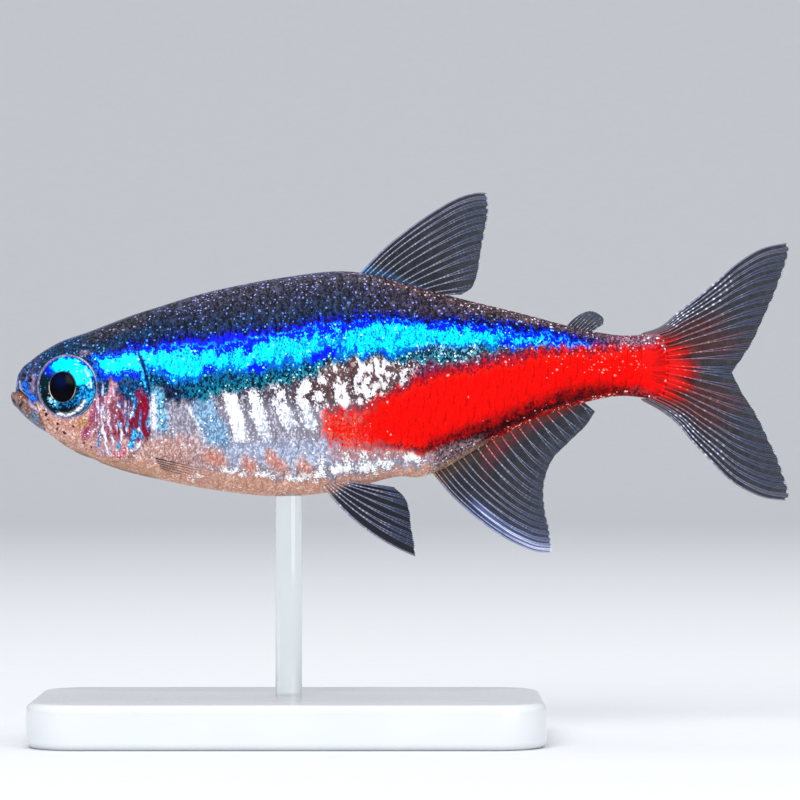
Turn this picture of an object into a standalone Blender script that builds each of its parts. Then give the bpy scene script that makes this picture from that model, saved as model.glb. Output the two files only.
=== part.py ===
"""Neon tetra: a life-size still model of the small aquarium fish, held on a plain clear stand.

The fish faces -X and its left side looks towards -Y. All sizes below are millimetres, measured along
the fish from the tip of its snout (s) and up or down from its long axis (z); new_object turns them
into metres. The body is one lofted form parted by thin curved cuts, and the fins are thin plates
whose rays are ridges raised in the membrane itself.
"""
import math

import bmesh
import bpy
import numpy as np

# Driving sizes of the whole fish
MM = 0.001
JAW_TIP = -0.23
TAIL_TIP = 34.82
AXIS_HEIGHT = 16.24
GAP = 0.3

# Outlines of the body from the side and its half width, as (place, value) stations
BACK = ((-0.23, -0.66), (-0.1, -0.40), (0.0, -0.10), (0.18, 0.36), (0.72, 0.90), (1.8, 1.62),
        (3.25, 2.16), (5.41, 2.98), (8.3, 3.92), (10.1, 4.33), (12.2, 4.70), (15.1, 4.94),
        (16.42, 4.74), (19.12, 3.97), (22.73, 3.07), (26.34, 2.19), (27.5, 2.06), (29.6, 2.25))
BELLY = ((-0.23, -0.76), (-0.18, -0.95), (0.05, -1.26), (0.68, -1.89), (1.35, -2.35), (2.53, -3.16),
         (3.97, -3.79), (6.49, -4.53), (9.2, -5.05), (12.36, -5.29), (15.06, -4.96), (17.77, -4.27),
         (18.85, -4.19), (21.38, -2.84), (24.99, -1.26), (27.24, -0.78), (29.6, -0.98))
HALF_WIDTH = ((-0.23, 0.16), (-0.1, 0.38), (0.1, 0.62), (0.5, 1.02), (1.35, 1.50), (2.4, 1.86),
              (3.6, 2.06), (5.4, 2.17), (8.5, 2.22), (13.0, 2.20), (17.3, 1.95), (20.3, 1.58),
              (23.3, 1.16), (26.3, 0.78), (28.3, 0.56), (29.6, 0.40))
WIDEST_SHARE = 0.47
SECTION_POWER = 2.1
RING_POINTS = 32
HEAD_RINGS = (26, 1.7)

# Cuts that part the body
VENT_CUT = 18.05
STALK_CUT = 25.9
FLESH_END = 29.35
FLESH_MIDDLE = 0.62
FLESH_CURVE = 0.13

# Gill opening: its rearmost point and how fast its edge runs forward above and below
GILL_REAR = (6.1, -1.4)
GILL_CURVE_UP = 0.07
GILL_CURVE_DOWN = 0.17
GILL_PLATE_RISE = 0.10
GILL_PLATE_DEPTH = 0.45
GILL_PLATE_HEIGHTS = (-3.12, 1.50)
GILL_PLATE_FRONT = ((4.85, -3.12), (4.50, -2.6), (4.42, -1.4), (4.45, 0.0), (4.62, 1.0), (4.95, 1.50))

# Mouth: its line from the front to the corner, then down behind the jaw
MOUTH_LINE = ((-0.9, -0.34), (0.10, -0.48), (0.95, -1.26), (1.42, -2.9), (-0.9, -2.9))
MOUTH_OPENING = (0.12, 0.13)
LIP_RADIUS = 0.14
UPPER_LIP = ((0.0, -0.22), (0.98, -1.00))
LOWER_LIP = ((-0.09, -0.68), (0.72, -1.46))
NOSTRIL = (0.56, 0.10)
NOSTRIL_RADIUS = 0.13

# Eyes
EYE_PLACE = (2.30, 1.33, -0.29)
EYE_RADII = (1.33, 0.68, 1.42)

# Fins: half thickness of the membrane, rise of a ray above it, half thickness at the edge
MEMBRANE = 0.25
RAY_RISE = 0.12
LEADING_RISE = 0.20
EDGE = 0.13
SCALLOP = 0.02

# Median fins: places of the root along the back or belly, free edge, rays, rows and forward bow
DORSAL_ROOT = (15.5, 16.4, 17.6, 19.0)
DORSAL_EDGE = ((21.24, 8.41), (21.31, 7.73), (21.15, 6.72), (20.96, 5.71), (20.72, 4.80), (20.3, 4.22))
DORSAL_BUILD = (11, 8, 0.45)
ADIPOSE_ROOT = (24.9, 25.35, 25.9)
ADIPOSE_EDGE = ((25.55, 3.02), (25.9, 3.11), (26.25, 3.0), (26.5, 2.75), (26.48, 2.52))
ADIPOSE_BUILD = (5, 5, 0.06)
ANAL_ROOT = (18.9, 20.2, 21.5, 23.5, 25.55)
ANAL_EDGE = ((24.18, -7.77), (24.07, -6.83), (23.84, -5.7), (23.82, -4.7), (24.2, -3.6), (25.0, -2.75),
             (25.75, -2.0), (26.12, -1.42))
ANAL_BUILD = (16, 8, -0.45)

# Tail fin: root round the end of the flesh and free edge of each lobe, down or up to the fork
FORK_HEIGHT = 0.36
TAIL_ROOT_PLACE = 29.66
UPPER_ROOT = ((28.35, 2.47), (29.12, 2.50), (29.50, 2.10), (29.62, 1.4))
UPPER_EDGE = ((34.74, 6.24), (34.82, 5.75), (34.54, 4.75), (34.14, 3.7), (33.73, 2.82), (33.25, 1.77),
              (32.77, 1.0))
UPPER_BUILD = (11, 8, 0.30)
LOWER_ROOT = ((28.35, -1.24), (29.12, -1.29), (29.48, -0.88), (29.62, -0.2))
LOWER_EDGE = ((34.66, -5.45), (34.80, -5.15), (34.62, -4.27), (34.37, -3.55), (34.05, -2.89),
              (33.33, -1.44), (32.85, -0.72))
LOWER_BUILD = (10, 8, -0.40)
FORK_PLACE = 32.3

# Paired fins: root on the body, free edge, and how they stand off the middle plane
PELVIC_ROOT = (13.85, 14.4, 14.9)
PELVIC_ROOT_Y = 0.95
PELVIC_ROOT_SLANT = (-0.02, 0.0, 0.12)
PELVIC_EDGE = ((18.02, -7.88), (17.95, -7.3), (17.82, -6.6), (17.78, -5.95), (17.62, -5.42), (17.25, -5.10))
PELVIC_BUILD = (8, 7, -0.38)
PELVIC_SPLAY = 0.22
PECTORAL_ROOT = ((6.45, -2.95), (6.52, -3.35), (6.62, -3.75))
PECTORAL_EDGE = ((9.75, 3.35, -3.92), (9.85, 2.85, -4.10), (9.45, 2.30, -4.26), (8.75, 1.95, -4.38))
PECTORAL_RAYS = 6
PECTORAL_ROWS = 7
PECTORAL_BULGE = 0.18

# Stand
BASE_SIZE = (23.0, 13.0, 2.0)
BASE_CORNER = 2.4
BASE_EDGE = 0.35
ROD_RADIUS = 0.6
ROD_SIDES = 20
ROD_PLACE = 12.3

BACK_COLOUR = (0.055, 0.060, 0.045)
FLANK_COLOUR = (0.42, 0.40, 0.44)
RED_COLOUR = (0.55, 0.06, 0.03)
CHEEK_COLOUR = (0.50, 0.42, 0.46)
EYE_COLOUR = (0.05, 0.35, 0.62)
FIN_COLOUR = (0.55, 0.60, 0.68)
CLEAR_COLOUR = (0.86, 0.90, 0.92)


def clear_scene():
    for item in list(bpy.data.objects):
        bpy.data.objects.remove(item, do_unlink=True)


def material(name, colour, roughness, metallic=0.0):
    made = bpy.data.materials.new(name)
    made.use_nodes = True
    shader = made.node_tree.nodes["Principled BSDF"]
    shader.inputs["Base Color"].default_value = (*colour, 1.0)
    shader.inputs["Roughness"].default_value = roughness
    shader.inputs["Metallic"].default_value = metallic
    return made


def in_world(points):
    """Fish places (s, y, z) as world metres: the snout to -X and the axis at its height."""
    points = np.asarray(points, dtype=float)
    moved = points - np.array(((JAW_TIP + TAIL_TIP) / 2, 0.0, -AXIS_HEIGHT))
    return moved * MM


def new_object(name, points, faces, look=None, smooth=True):
    """An object from fish places in millimetres, its faces turned to point outwards."""
    mesh = bpy.data.meshes.new(name)
    mesh.from_pydata(in_world(points).tolist(), [], [tuple(face) for face in faces])
    shell = bmesh.new()
    shell.from_mesh(mesh)
    bmesh.ops.recalc_face_normals(shell, faces=shell.faces)
    shell.to_mesh(mesh)
    shell.free()
    if smooth:
        mesh.shade_smooth()
        mesh.set_sharp_from_angle(angle=math.radians(38))
    item = bpy.data.objects.new(name, mesh)
    bpy.context.scene.collection.objects.link(item)
    if look:
        mesh.materials.append(look)
    return item


def smooth_through(stations, place):
    """Value at a place on the smooth curve through the stations, by cubic Hermite spans."""
    at, value = np.array(stations, dtype=float).T
    slope = np.gradient(value, at)
    place = np.asarray(place, dtype=float)
    span = np.clip(np.searchsorted(at, place) - 1, 0, len(at) - 2)
    width = at[span + 1] - at[span]
    t = np.clip((place - at[span]) / width, 0.0, 1.0)
    from_start = value[span] * (2 * t**3 - 3 * t**2 + 1) + slope[span] * width * (t**3 - 2 * t**2 + t)
    to_end = value[span + 1] * (3 * t**2 - 2 * t**3) + slope[span + 1] * width * (t**3 - t**2)
    return from_start + to_end


def along(points, share):
    """Point at each share of the length of a smooth line through the given points."""
    points = np.array(points, dtype=float)
    steps = np.linalg.norm(np.diff(points, axis=0), axis=1)
    length = np.concatenate(([0.0], np.cumsum(steps))) / steps.sum()
    sides = [smooth_through(np.column_stack((length, side)), share) for side in points.T]
    return np.stack(sides, axis=-1)


def section(place, turn):
    """Half-breadth and height of the body section at a place, for a turn from its left side."""
    top = smooth_through(BACK, place)
    bottom = smooth_through(BELLY, place)
    widest = bottom + WIDEST_SHARE * (top - bottom)
    power = 2 / SECTION_POWER
    across = np.sign(np.cos(turn)) * np.abs(np.cos(turn)) ** power
    up = np.sign(np.sin(turn)) * np.abs(np.sin(turn)) ** power
    y = smooth_through(HALF_WIDTH, place) * across
    z = widest + up * np.where(up > 0, top - widest, widest - bottom)
    return y, z


def side_breadth(place, height):
    """Half breadth of the body at a place and height, from the section's power law."""
    top = smooth_through(BACK, place)
    bottom = smooth_through(BELLY, place)
    widest = bottom + WIDEST_SHARE * (top - bottom)
    reach = np.where(height > widest, top - widest, widest - bottom)
    share = np.clip(np.abs(height - widest) / reach, 0.0, 0.999)
    return smooth_through(HALF_WIDTH, place) * (1 - share**SECTION_POWER) ** (1 / SECTION_POWER)


def underside(place, y):
    """Height of the belly at a place and a distance from the middle plane."""
    bottom = smooth_through(BELLY, place)
    widest = bottom + WIDEST_SHARE * (smooth_through(BACK, place) - bottom)
    share = np.clip(np.abs(y) / smooth_through(HALF_WIDTH, place), 0.0, 1.0)
    return widest - (widest - bottom) * (1 - share**SECTION_POWER) ** (1 / SECTION_POWER)


def gill_edge(height):
    """Place of the gill opening at a height: two half parabolas that meet at its rearmost point."""
    rise = np.asarray(height, dtype=float) - GILL_REAR[1]
    return GILL_REAR[0] - np.where(rise > 0, GILL_CURVE_UP, GILL_CURVE_DOWN) * rise**2


def behind_gills(height):
    """Front end of the trunk, a gap behind the gill opening."""
    return gill_edge(height) + GAP


def straight_cut(place):
    """A cut square across the fish, as a place by height."""
    return lambda height: place + 0.0 * np.asarray(height, dtype=float)


def flesh_edge(height):
    """Place of the rounded end of the flesh at the root of the tail fin."""
    return FLESH_END - FLESH_CURVE * (np.asarray(height, dtype=float) - FLESH_MIDDLE) ** 2


def body_length(name, look, front, rear, rings, crowd=1.0):
    """A length of the body lofted from its front cut to its rear cut, each a place by height."""
    turn = np.arange(RING_POINTS) / RING_POINTS * 2 * math.pi
    points = []
    for share in np.linspace(0.0, 1.0, rings) ** crowd:
        place = np.full(RING_POINTS, float(front(0.0)) * (1 - share) + float(rear(0.0)) * share)
        for settle in range(4):
            height = section(place, turn)[1]
            place = front(height) * (1 - share) + rear(height) * share
        y, z = section(place, turn)
        points.extend(np.column_stack((place, y, z)))
    faces = []
    for ring in range(rings - 1):
        for corner in range(RING_POINTS):
            after = (corner + 1) % RING_POINTS
            low = ring * RING_POINTS
            high = low + RING_POINTS
            faces.append((low + corner, low + after, high + after, high + corner))
    for ring, cut in ((0, front), (rings - 1, rear)):
        first = ring * RING_POINTS
        rim = points[first:first + RING_POINTS]
        height = float(np.mean([point[2] for point in rim]))
        points.append((float(cut(height)), 0.0, height))
        centre = len(points) - 1
        for corner in range(RING_POINTS):
            faces.append((first + corner, first + (corner + 1) % RING_POINTS, centre))
    return new_object(name, points, faces, look)


def plate(name, middle, lift, sink, look=None):
    """A closed plate about a grid of middle points: one face lifted, the other sunk, split alike."""
    rows, columns = middle.shape[:2]
    count = rows * columns
    points = np.concatenate(((middle + lift).reshape(count, 3), (middle - sink).reshape(count, 3)))
    faces = []
    for row in range(rows - 1):
        for column in range(columns - 1):
            a = row * columns + column
            b, c, d = a + 1, a + columns + 1, a + columns
            faces.extend(((a, b, c), (a, c, d)))
            faces.extend(((a + count, c + count, b + count), (a + count, d + count, c + count)))
    low = [row * columns for row in range(rows)]
    edge = [column for column in range(columns)]
    edge += [value + columns - 1 for value in low[1:]]
    edge += [low[-1] + column for column in range(columns - 2, -1, -1)]
    edge += low[-2:0:-1]
    for first, second in zip(edge, edge[1:] + edge[:1]):
        faces.append((first, first + count, second + count))
        faces.append((first, second + count, second))
    return new_object(name, points, faces, look, smooth=False)


def grid_normals(middle):
    """Unit normals of a grid of points, from the differences of its neighbours."""
    normal = np.cross(np.gradient(middle, axis=0), np.gradient(middle, axis=1))
    return normal / np.linalg.norm(normal, axis=2, keepdims=True)


def fin_lines(base, margin, rays, rows, bow):
    """Grid of side-view points of a fin: a ray on every other column, bowed outwards at the front."""
    across = np.linspace(0.0, 1.0, 2 * rays - 1)
    out = np.linspace(0.0, 1.0, rows)[:, None]
    root = along(base, across)
    tip = along(margin, across)
    between_rays = np.arange(2 * rays - 1) % 2
    tip = tip - (tip - root) * (SCALLOP * between_rays)[:, None]
    chord = tip - root
    aside = np.stack((-chord[:, 1], chord[:, 0]), axis=-1)
    aside = aside / np.linalg.norm(aside, axis=1, keepdims=True)
    control = (root + tip) / 2 + aside * (2 * bow * (1 - across) ** 2)[:, None]
    out = out[:, :, None]
    return root * (1 - out) ** 2 + control * 2 * out * (1 - out) + tip * out**2


def fin_thickness(rays, rows, leading):
    """Half thickness over a fin: rays stand proud of the membrane and all thins to the edge."""
    column = np.arange(2 * rays - 1)
    rise = np.where(column % 2 == 0, RAY_RISE, 0.0)
    rise[0] = LEADING_RISE if leading else rise[0]
    out = np.linspace(0.0, 1.0, rows)[:, None]
    swell = rise[None, :] * (1 - 0.75 * out)
    thin = np.clip((out - 0.8) / 0.2, 0.0, 1.0)
    return (MEMBRANE + swell) * (1 - thin) + EDGE * thin


def middle_fin(name, look, base, margin, rays, rows, bow):
    """A fin on the fish's middle plane, from its root line, its free edge and its count of rays."""
    flat = fin_lines(base, margin, rays, rows, bow)
    middle = np.stack((flat[..., 0], np.zeros(flat.shape[:2]), flat[..., 1]), axis=-1)
    half = fin_thickness(rays, rows, True)[..., None] * np.array((0.0, 1.0, 0.0))
    return plate(name, middle, half, half, look)


def make_cutter(item):
    item.hide_render = True
    item.display_type = "WIRE"
    return item


def combine(item, others, operation):
    """One Boolean of a node with a collection of closed pieces, applied, and the pieces removed."""
    pieces = bpy.data.collections.new(item.name + "_pieces")
    bpy.context.scene.collection.children.link(pieces)
    for other in others:
        make_cutter(other)
        for owner in list(other.users_collection):
            owner.objects.unlink(other)
        pieces.objects.link(other)
    step = item.modifiers.new("join", "BOOLEAN")
    step.operation = operation
    step.operand_type = "COLLECTION"
    step.collection = pieces
    step.solver = "EXACT"
    view = bpy.context.evaluated_depsgraph_get()
    view.update()
    result = bpy.data.meshes.new_from_object(item.evaluated_get(view))
    item.modifiers.clear()
    item.data = result
    for other in others:
        bpy.data.objects.remove(other, do_unlink=True)
    bpy.data.collections.remove(pieces)
    keep_largest(item)


def keep_largest(item):
    """Keep the node's largest closed surface, and drop any loose scrap."""
    shell = bmesh.new()
    shell.from_mesh(item.data)
    bmesh.ops.remove_doubles(shell, verts=shell.verts, dist=0.000001)
    left = set(shell.faces)
    groups = []
    while left:
        found = {left.pop()}
        edge = list(found)
        while edge:
            face = edge.pop()
            near = {other for side in face.edges for other in side.link_faces} - found
            found |= near
            edge.extend(near)
        left -= found
        groups.append(found)
    largest = max(groups, key=lambda group: sum(face.calc_area() for face in group))
    scrap = [face for group in groups if group is not largest for face in group]
    bmesh.ops.delete(shell, geom=scrap, context="FACES")
    shell.to_mesh(item.data)
    shell.free()


def ellipsoid(name, centre, radii, around, along_axis, look=None):
    """A closed ellipsoid from rings about the fish's cross axis."""
    turn = np.arange(around) / around * 2 * math.pi
    points = [(centre[0], centre[1] - radii[1], centre[2])]
    for ring in range(1, along_axis):
        lean = math.pi * ring / along_axis
        reach = math.sin(lean)
        y = centre[1] - radii[1] * math.cos(lean)
        x = centre[0] + radii[0] * reach * np.cos(turn)
        z = centre[2] + radii[2] * reach * np.sin(turn)
        points.extend(np.column_stack((x, np.full(around, y), z)))
    points.append((centre[0], centre[1] + radii[1], centre[2]))
    last = len(points) - 1
    faces = []
    for corner in range(around):
        after = (corner + 1) % around
        faces.append((0, 1 + corner, 1 + after))
        faces.append((last, last - around + after, last - around + corner))
        for ring in range(along_axis - 2):
            low = 1 + ring * around
            high = low + around
            faces.append((low + corner, high + corner, high + after, low + after))
    return new_object(name, points, faces, look)


def prism(name, outline, half_depth, look=None):
    """A side-view outline carried across the fish."""
    count = len(outline)
    points = [(s, side * half_depth, z) for side in (-1, 1) for s, z in outline]
    faces = [tuple(range(count)), tuple(range(2 * count - 1, count - 1, -1))]
    for corner in range(count):
        after = (corner + 1) % count
        faces.append((corner, corner + count, after + count, after))
    return new_object(name, points, faces, look, smooth=False)


def gill_patch(side, border):
    """Grid over the gill cover on one side, grown by a border: front edge to rear edge, low to high."""
    low, high = GILL_PLATE_HEIGHTS
    height = np.linspace(low - border, high + border, 13)
    heights = np.array([corner[1] for corner in GILL_PLATE_FRONT])
    places = np.array([corner[0] for corner in GILL_PLATE_FRONT])
    front = smooth_through(np.column_stack((heights, places)), np.clip(height, low, high))
    rear = gill_edge(height)
    over = np.linspace(0.0, 1.0, 7)
    start = front - border
    end = rear + (0.5 if border else 0.0)
    place = start[:, None] * (1 - over) + end[:, None] * over
    height = np.repeat(height[:, None], len(over), axis=1)
    return np.stack((place, side * side_breadth(place, height), height), axis=-1)


def outward(middle, side):
    normal = grid_normals(middle)
    flip = np.sign(normal[..., 1] * side)
    return normal * np.where(flip == 0, 1, flip)[..., None]


def gill_cover(name, side, look):
    middle = gill_patch(side, 0.0)
    normal = outward(middle, side)
    return plate(name, middle, normal * GILL_PLATE_RISE, normal * GILL_PLATE_DEPTH, look)


def gill_recess(side):
    middle = gill_patch(side, GAP)
    normal = outward(middle, side)
    return plate("recess", middle, normal, normal * (GILL_PLATE_DEPTH + GAP))


def lip(front, corner):
    """A round lip that follows the mouth from one corner round the front to the other."""
    share = np.linspace(-1.0, 1.0, 17)
    reach = np.abs(share)
    place = front[0] + (corner[0] - front[0]) * reach**1.7
    height = front[1] + (corner[1] - front[1]) * reach**1.7
    turn_in = np.sin(np.clip(reach * 1.5, 0.0, 1.0) * math.pi / 2)
    y = np.sign(share) * side_breadth(place + 0.05, height) * turn_in
    centre = np.column_stack((place, y, height))
    ahead = np.gradient(centre, axis=0)
    ahead = ahead / np.linalg.norm(ahead, axis=1, keepdims=True)
    beside = np.cross(ahead, (0.35, 0.0, 1.0))
    beside = beside / np.linalg.norm(beside, axis=1, keepdims=True)
    over = np.cross(beside, ahead)
    sides = 8
    turn = np.arange(sides) / sides * 2 * math.pi
    ring = np.cos(turn)[None, :, None] * beside[:, None] + np.sin(turn)[None, :, None] * over[:, None]
    slim = LIP_RADIUS * (1 - 0.45 * reach**4)
    points = (centre[:, None] + ring * slim[:, None, None]).reshape(-1, 3)
    faces = [tuple(range(sides)), tuple(range(len(points) - sides, len(points)))]
    for row in range(len(share) - 1):
        for corner_point in range(sides):
            after = (corner_point + 1) % sides
            low = row * sides
            faces.append((low + corner_point, low + after, low + sides + after, low + sides + corner_point))
    return new_object("lip", points, faces)


def shifted(outline, amount):
    return [(s + amount * MOUTH_OPENING[0], z + amount * MOUTH_OPENING[1]) for s, z in outline]


def head(look):
    """The skull with its sockets, gill recesses and nostrils, and the lower jaw cut free of it."""
    snout = straight_cut(JAW_TIP)
    whole = body_length("head", look, snout, gill_edge, *HEAD_RINGS)
    jaw = body_length("lower_jaw", look, snout, gill_edge, *HEAD_RINGS)
    combine(jaw, [prism("jaw_region", shifted(MOUTH_LINE, -1), 3.0)], "INTERSECT")
    combine(jaw, [lip(*LOWER_LIP)], "UNION")
    combine(whole, [prism("jaw_space", shifted(MOUTH_LINE, 1), 3.0)], "DIFFERENCE")
    combine(whole, [lip(*UPPER_LIP)], "UNION")
    cutters = []
    for side in (-1, 1):
        centre = (EYE_PLACE[0], side * EYE_PLACE[1], EYE_PLACE[2])
        cutters.append(ellipsoid("socket", centre, [radius + GAP for radius in EYE_RADII], 24, 12))
        breadth = float(side_breadth(NOSTRIL[0], NOSTRIL[1]))
        place = (NOSTRIL[0], side * (breadth + 0.02), NOSTRIL[1])
        cutters.append(ellipsoid("nostril", place, [NOSTRIL_RADIUS] * 3, 10, 6))
        cutters.append(gill_recess(side))
    combine(whole, cutters, "DIFFERENCE")


def eyes(look):
    for name, side in (("eye_left", -1), ("eye_right", 1)):
        centre = (EYE_PLACE[0], side * EYE_PLACE[1], EYE_PLACE[2])
        ellipsoid(name, centre, EYE_RADII, 24, 12, look)


def body(flank, red):
    """Trunk and tail stalk, each length kept clear of the next by the gap."""
    body_length("trunk_front", flank, behind_gills, straight_cut(VENT_CUT), 20)
    body_length("trunk_rear", red, straight_cut(VENT_CUT + GAP), straight_cut(STALK_CUT), 12)
    body_length("tail_stalk", red, straight_cut(STALK_CUT + GAP), flesh_edge, 8)


def on_back(place, over):
    return (place, float(smooth_through(BACK, place)) + over)


def on_belly(place, under):
    return (place, float(smooth_through(BELLY, place)) - under)


def fins_on_middle(look):
    """Dorsal, adipose and anal fins, each rooted a gap off the back or belly line."""
    dorsal_root = [on_back(place, GAP) for place in DORSAL_ROOT]
    middle_fin("dorsal_fin", look, dorsal_root, DORSAL_EDGE, *DORSAL_BUILD)
    adipose_root = [on_back(place, GAP) for place in ADIPOSE_ROOT]
    middle_fin("adipose_fin", look, adipose_root, ADIPOSE_EDGE, *ADIPOSE_BUILD)
    anal_root = [on_belly(place, GAP) for place in ANAL_ROOT]
    middle_fin("anal_fin", look, anal_root, ANAL_EDGE, *ANAL_BUILD)


def tail_fin(look):
    """The two lobes of the forked tail fin, parted by the gap from the flesh to the fork."""
    lobes = (("tail_fin_upper", UPPER_ROOT, UPPER_EDGE, UPPER_BUILD, GAP / 2),
             ("tail_fin_lower", LOWER_ROOT, LOWER_EDGE, LOWER_BUILD, -GAP / 2))
    for name, root, edge, build, aside in lobes:
        root = (*root, (TAIL_ROOT_PLACE, FLESH_MIDDLE + aside))
        edge = (*edge, (FORK_PLACE, FORK_HEIGHT + aside))
        middle_fin(name, look, root, edge, *build)


def pelvic_fins(look):
    """The pair under the belly, each leaning outwards as it goes down."""
    rays, rows, bow = PELVIC_BUILD
    root = [(place, float(underside(place, PELVIC_ROOT_Y)) - GAP + slant)
            for place, slant in zip(PELVIC_ROOT, PELVIC_ROOT_SLANT)]
    flat = fin_lines(root, PELVIC_EDGE, rays, rows, bow)
    half = fin_thickness(rays, rows, True)[..., None] * np.array((0.0, 1.0, 0.0))
    lean = PELVIC_ROOT_Y + PELVIC_SPLAY * np.clip(root[0][1] - flat[..., 1], 0.0, None)
    for name, side in (("pelvic_fin_left", -1), ("pelvic_fin_right", 1)):
        middle = np.stack((flat[..., 0], side * lean, flat[..., 1]), axis=-1)
        plate(name, middle, half, half, look)


def pectoral_fins(look):
    """The pair behind the gill covers, folded back, low on the flank and turning flat to the edge."""
    clear = GAP + MEMBRANE
    root = [(s, float(side_breadth(s, z)) + clear, z) for s, z in PECTORAL_ROOT]
    across = np.linspace(0.0, 1.0, 2 * PECTORAL_RAYS - 1)
    out = np.linspace(0.0, 1.0, PECTORAL_ROWS)[:, None, None]
    middle = along(root, across) * (1 - out) + along(PECTORAL_EDGE, across) * out
    middle[..., 1] += PECTORAL_BULGE * np.sin(math.pi * out[..., 0])
    half = fin_thickness(PECTORAL_RAYS, PECTORAL_ROWS, True)[..., None]
    for name, side in (("pectoral_fin_left", -1), ("pectoral_fin_right", 1)):
        mirrored = middle * np.array((1.0, side, 1.0))
        normal = grid_normals(mirrored)
        plate(name, mirrored, normal * half, normal * half, look)


def rounded_box(name, size, corner, edge, look):
    """A slab with round corners in plan and a small bevel along its top edge, resting on the floor."""
    centre_x = (in_world((ROD_PLACE, 0, 0)))[0]
    shell = bmesh.new()
    bmesh.ops.create_cube(shell, size=MM)
    bmesh.ops.scale(shell, vec=size, verts=shell.verts)
    bmesh.ops.translate(shell, vec=(centre_x, 0.0, size[2] / 2 * MM), verts=shell.verts)
    upright = [side for side in shell.edges if abs(side.verts[0].co.z - side.verts[1].co.z) > MM]
    bmesh.ops.bevel(shell, geom=upright, offset=corner * MM, segments=6, affect="EDGES", profile=0.5)
    top = [side for side in shell.edges if min(end.co.z for end in side.verts) > (size[2] - 0.01) * MM]
    bmesh.ops.bevel(shell, geom=top, offset=edge * MM, segments=2, affect="EDGES", profile=0.5)
    mesh = bpy.data.meshes.new(name)
    shell.to_mesh(mesh)
    shell.free()
    item = bpy.data.objects.new(name, mesh)
    bpy.context.scene.collection.objects.link(item)
    mesh.materials.append(look)
    return item


def rod(name, look):
    """A round rod from just above the base to just under the belly, its top face to the belly."""
    low = BASE_SIZE[2] + GAP - AXIS_HEIGHT
    high = float(smooth_through(BELLY, ROD_PLACE)) - GAP
    turn = np.arange(ROD_SIDES) / ROD_SIDES * 2 * math.pi
    across = ROD_PLACE + ROD_RADIUS * np.cos(turn)
    y = ROD_RADIUS * np.sin(turn)
    points = [(s, t, height) for height in (low, high) for s, t in zip(across, y)]
    faces = [tuple(range(ROD_SIDES)), tuple(range(ROD_SIDES, 2 * ROD_SIDES))]
    for corner in range(ROD_SIDES):
        after = (corner + 1) % ROD_SIDES
        faces.append((corner, after, after + ROD_SIDES, corner + ROD_SIDES))
    return new_object(name, points, faces, look)


def stand(look):
    rounded_box("stand_base", BASE_SIZE, BASE_CORNER, BASE_EDGE, look)
    rod("stand_rod", look)


def main():
    clear_scene()
    flank = material("silver_flank", FLANK_COLOUR, 0.35)
    red = material("red_rear", RED_COLOUR, 0.4)
    cheek = material("cheek", CHEEK_COLOUR, 0.35)
    dark = material("dark_back", BACK_COLOUR, 0.45)
    eye = material("eye", EYE_COLOUR, 0.08)
    fin = material("fin_membrane", FIN_COLOUR, 0.3)
    clear = material("clear_acrylic", CLEAR_COLOUR, 0.05)
    head(dark)
    gill_cover("gill_cover_left", -1, cheek)
    gill_cover("gill_cover_right", 1, cheek)
    eyes(eye)
    body(flank, red)
    fins_on_middle(fin)
    tail_fin(fin)
    pelvic_fins(fin)
    pectoral_fins(fin)
    stand(clear)


main()
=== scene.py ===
"""Neon tetra: the looks of a life-size museum model on a plain display stand.

The fish frame is in millimetres: s runs from the snout towards the tail, y to the left side, and z is the
height over the body axis. in_world() turns it into the CAD frame, in metres.
"""

import bpy
import numpy as np
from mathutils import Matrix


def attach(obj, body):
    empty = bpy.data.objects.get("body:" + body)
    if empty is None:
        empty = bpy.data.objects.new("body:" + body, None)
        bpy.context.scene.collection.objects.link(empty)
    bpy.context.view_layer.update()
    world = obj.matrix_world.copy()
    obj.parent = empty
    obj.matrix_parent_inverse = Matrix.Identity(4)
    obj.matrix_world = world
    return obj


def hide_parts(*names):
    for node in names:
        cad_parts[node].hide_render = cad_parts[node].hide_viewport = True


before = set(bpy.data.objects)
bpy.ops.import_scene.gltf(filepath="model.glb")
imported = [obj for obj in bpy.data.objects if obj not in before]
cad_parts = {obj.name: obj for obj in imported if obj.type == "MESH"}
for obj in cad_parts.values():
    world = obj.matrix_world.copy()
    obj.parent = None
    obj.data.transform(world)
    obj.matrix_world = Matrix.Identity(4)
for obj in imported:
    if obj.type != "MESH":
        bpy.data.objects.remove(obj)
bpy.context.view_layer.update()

bl_info = {"name": "Neon tetra display model", "version": (1, 0, 0), "blender": (4, 5, 0),
    "location": "View3D > Sidebar > Tetra",
    "description": "Skin, scales, eyes, fins and stand of a life-size neon tetra", "category": "Object"}

MM = 0.001
JAW_TIP = -0.23
TAIL_TIP = 34.82
AXIS_HEIGHT = 16.24
PHOTO_PIXEL = 0.045103
LENS = 200
SENSOR = 36
CAMERA_REACH = LENS / SENSOR * 800 * PHOTO_PIXEL
PHOTO_CENTRE = np.array(((400 - 16) * PHOTO_PIXEL, (380 - 400) * PHOTO_PIXEL))

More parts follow.
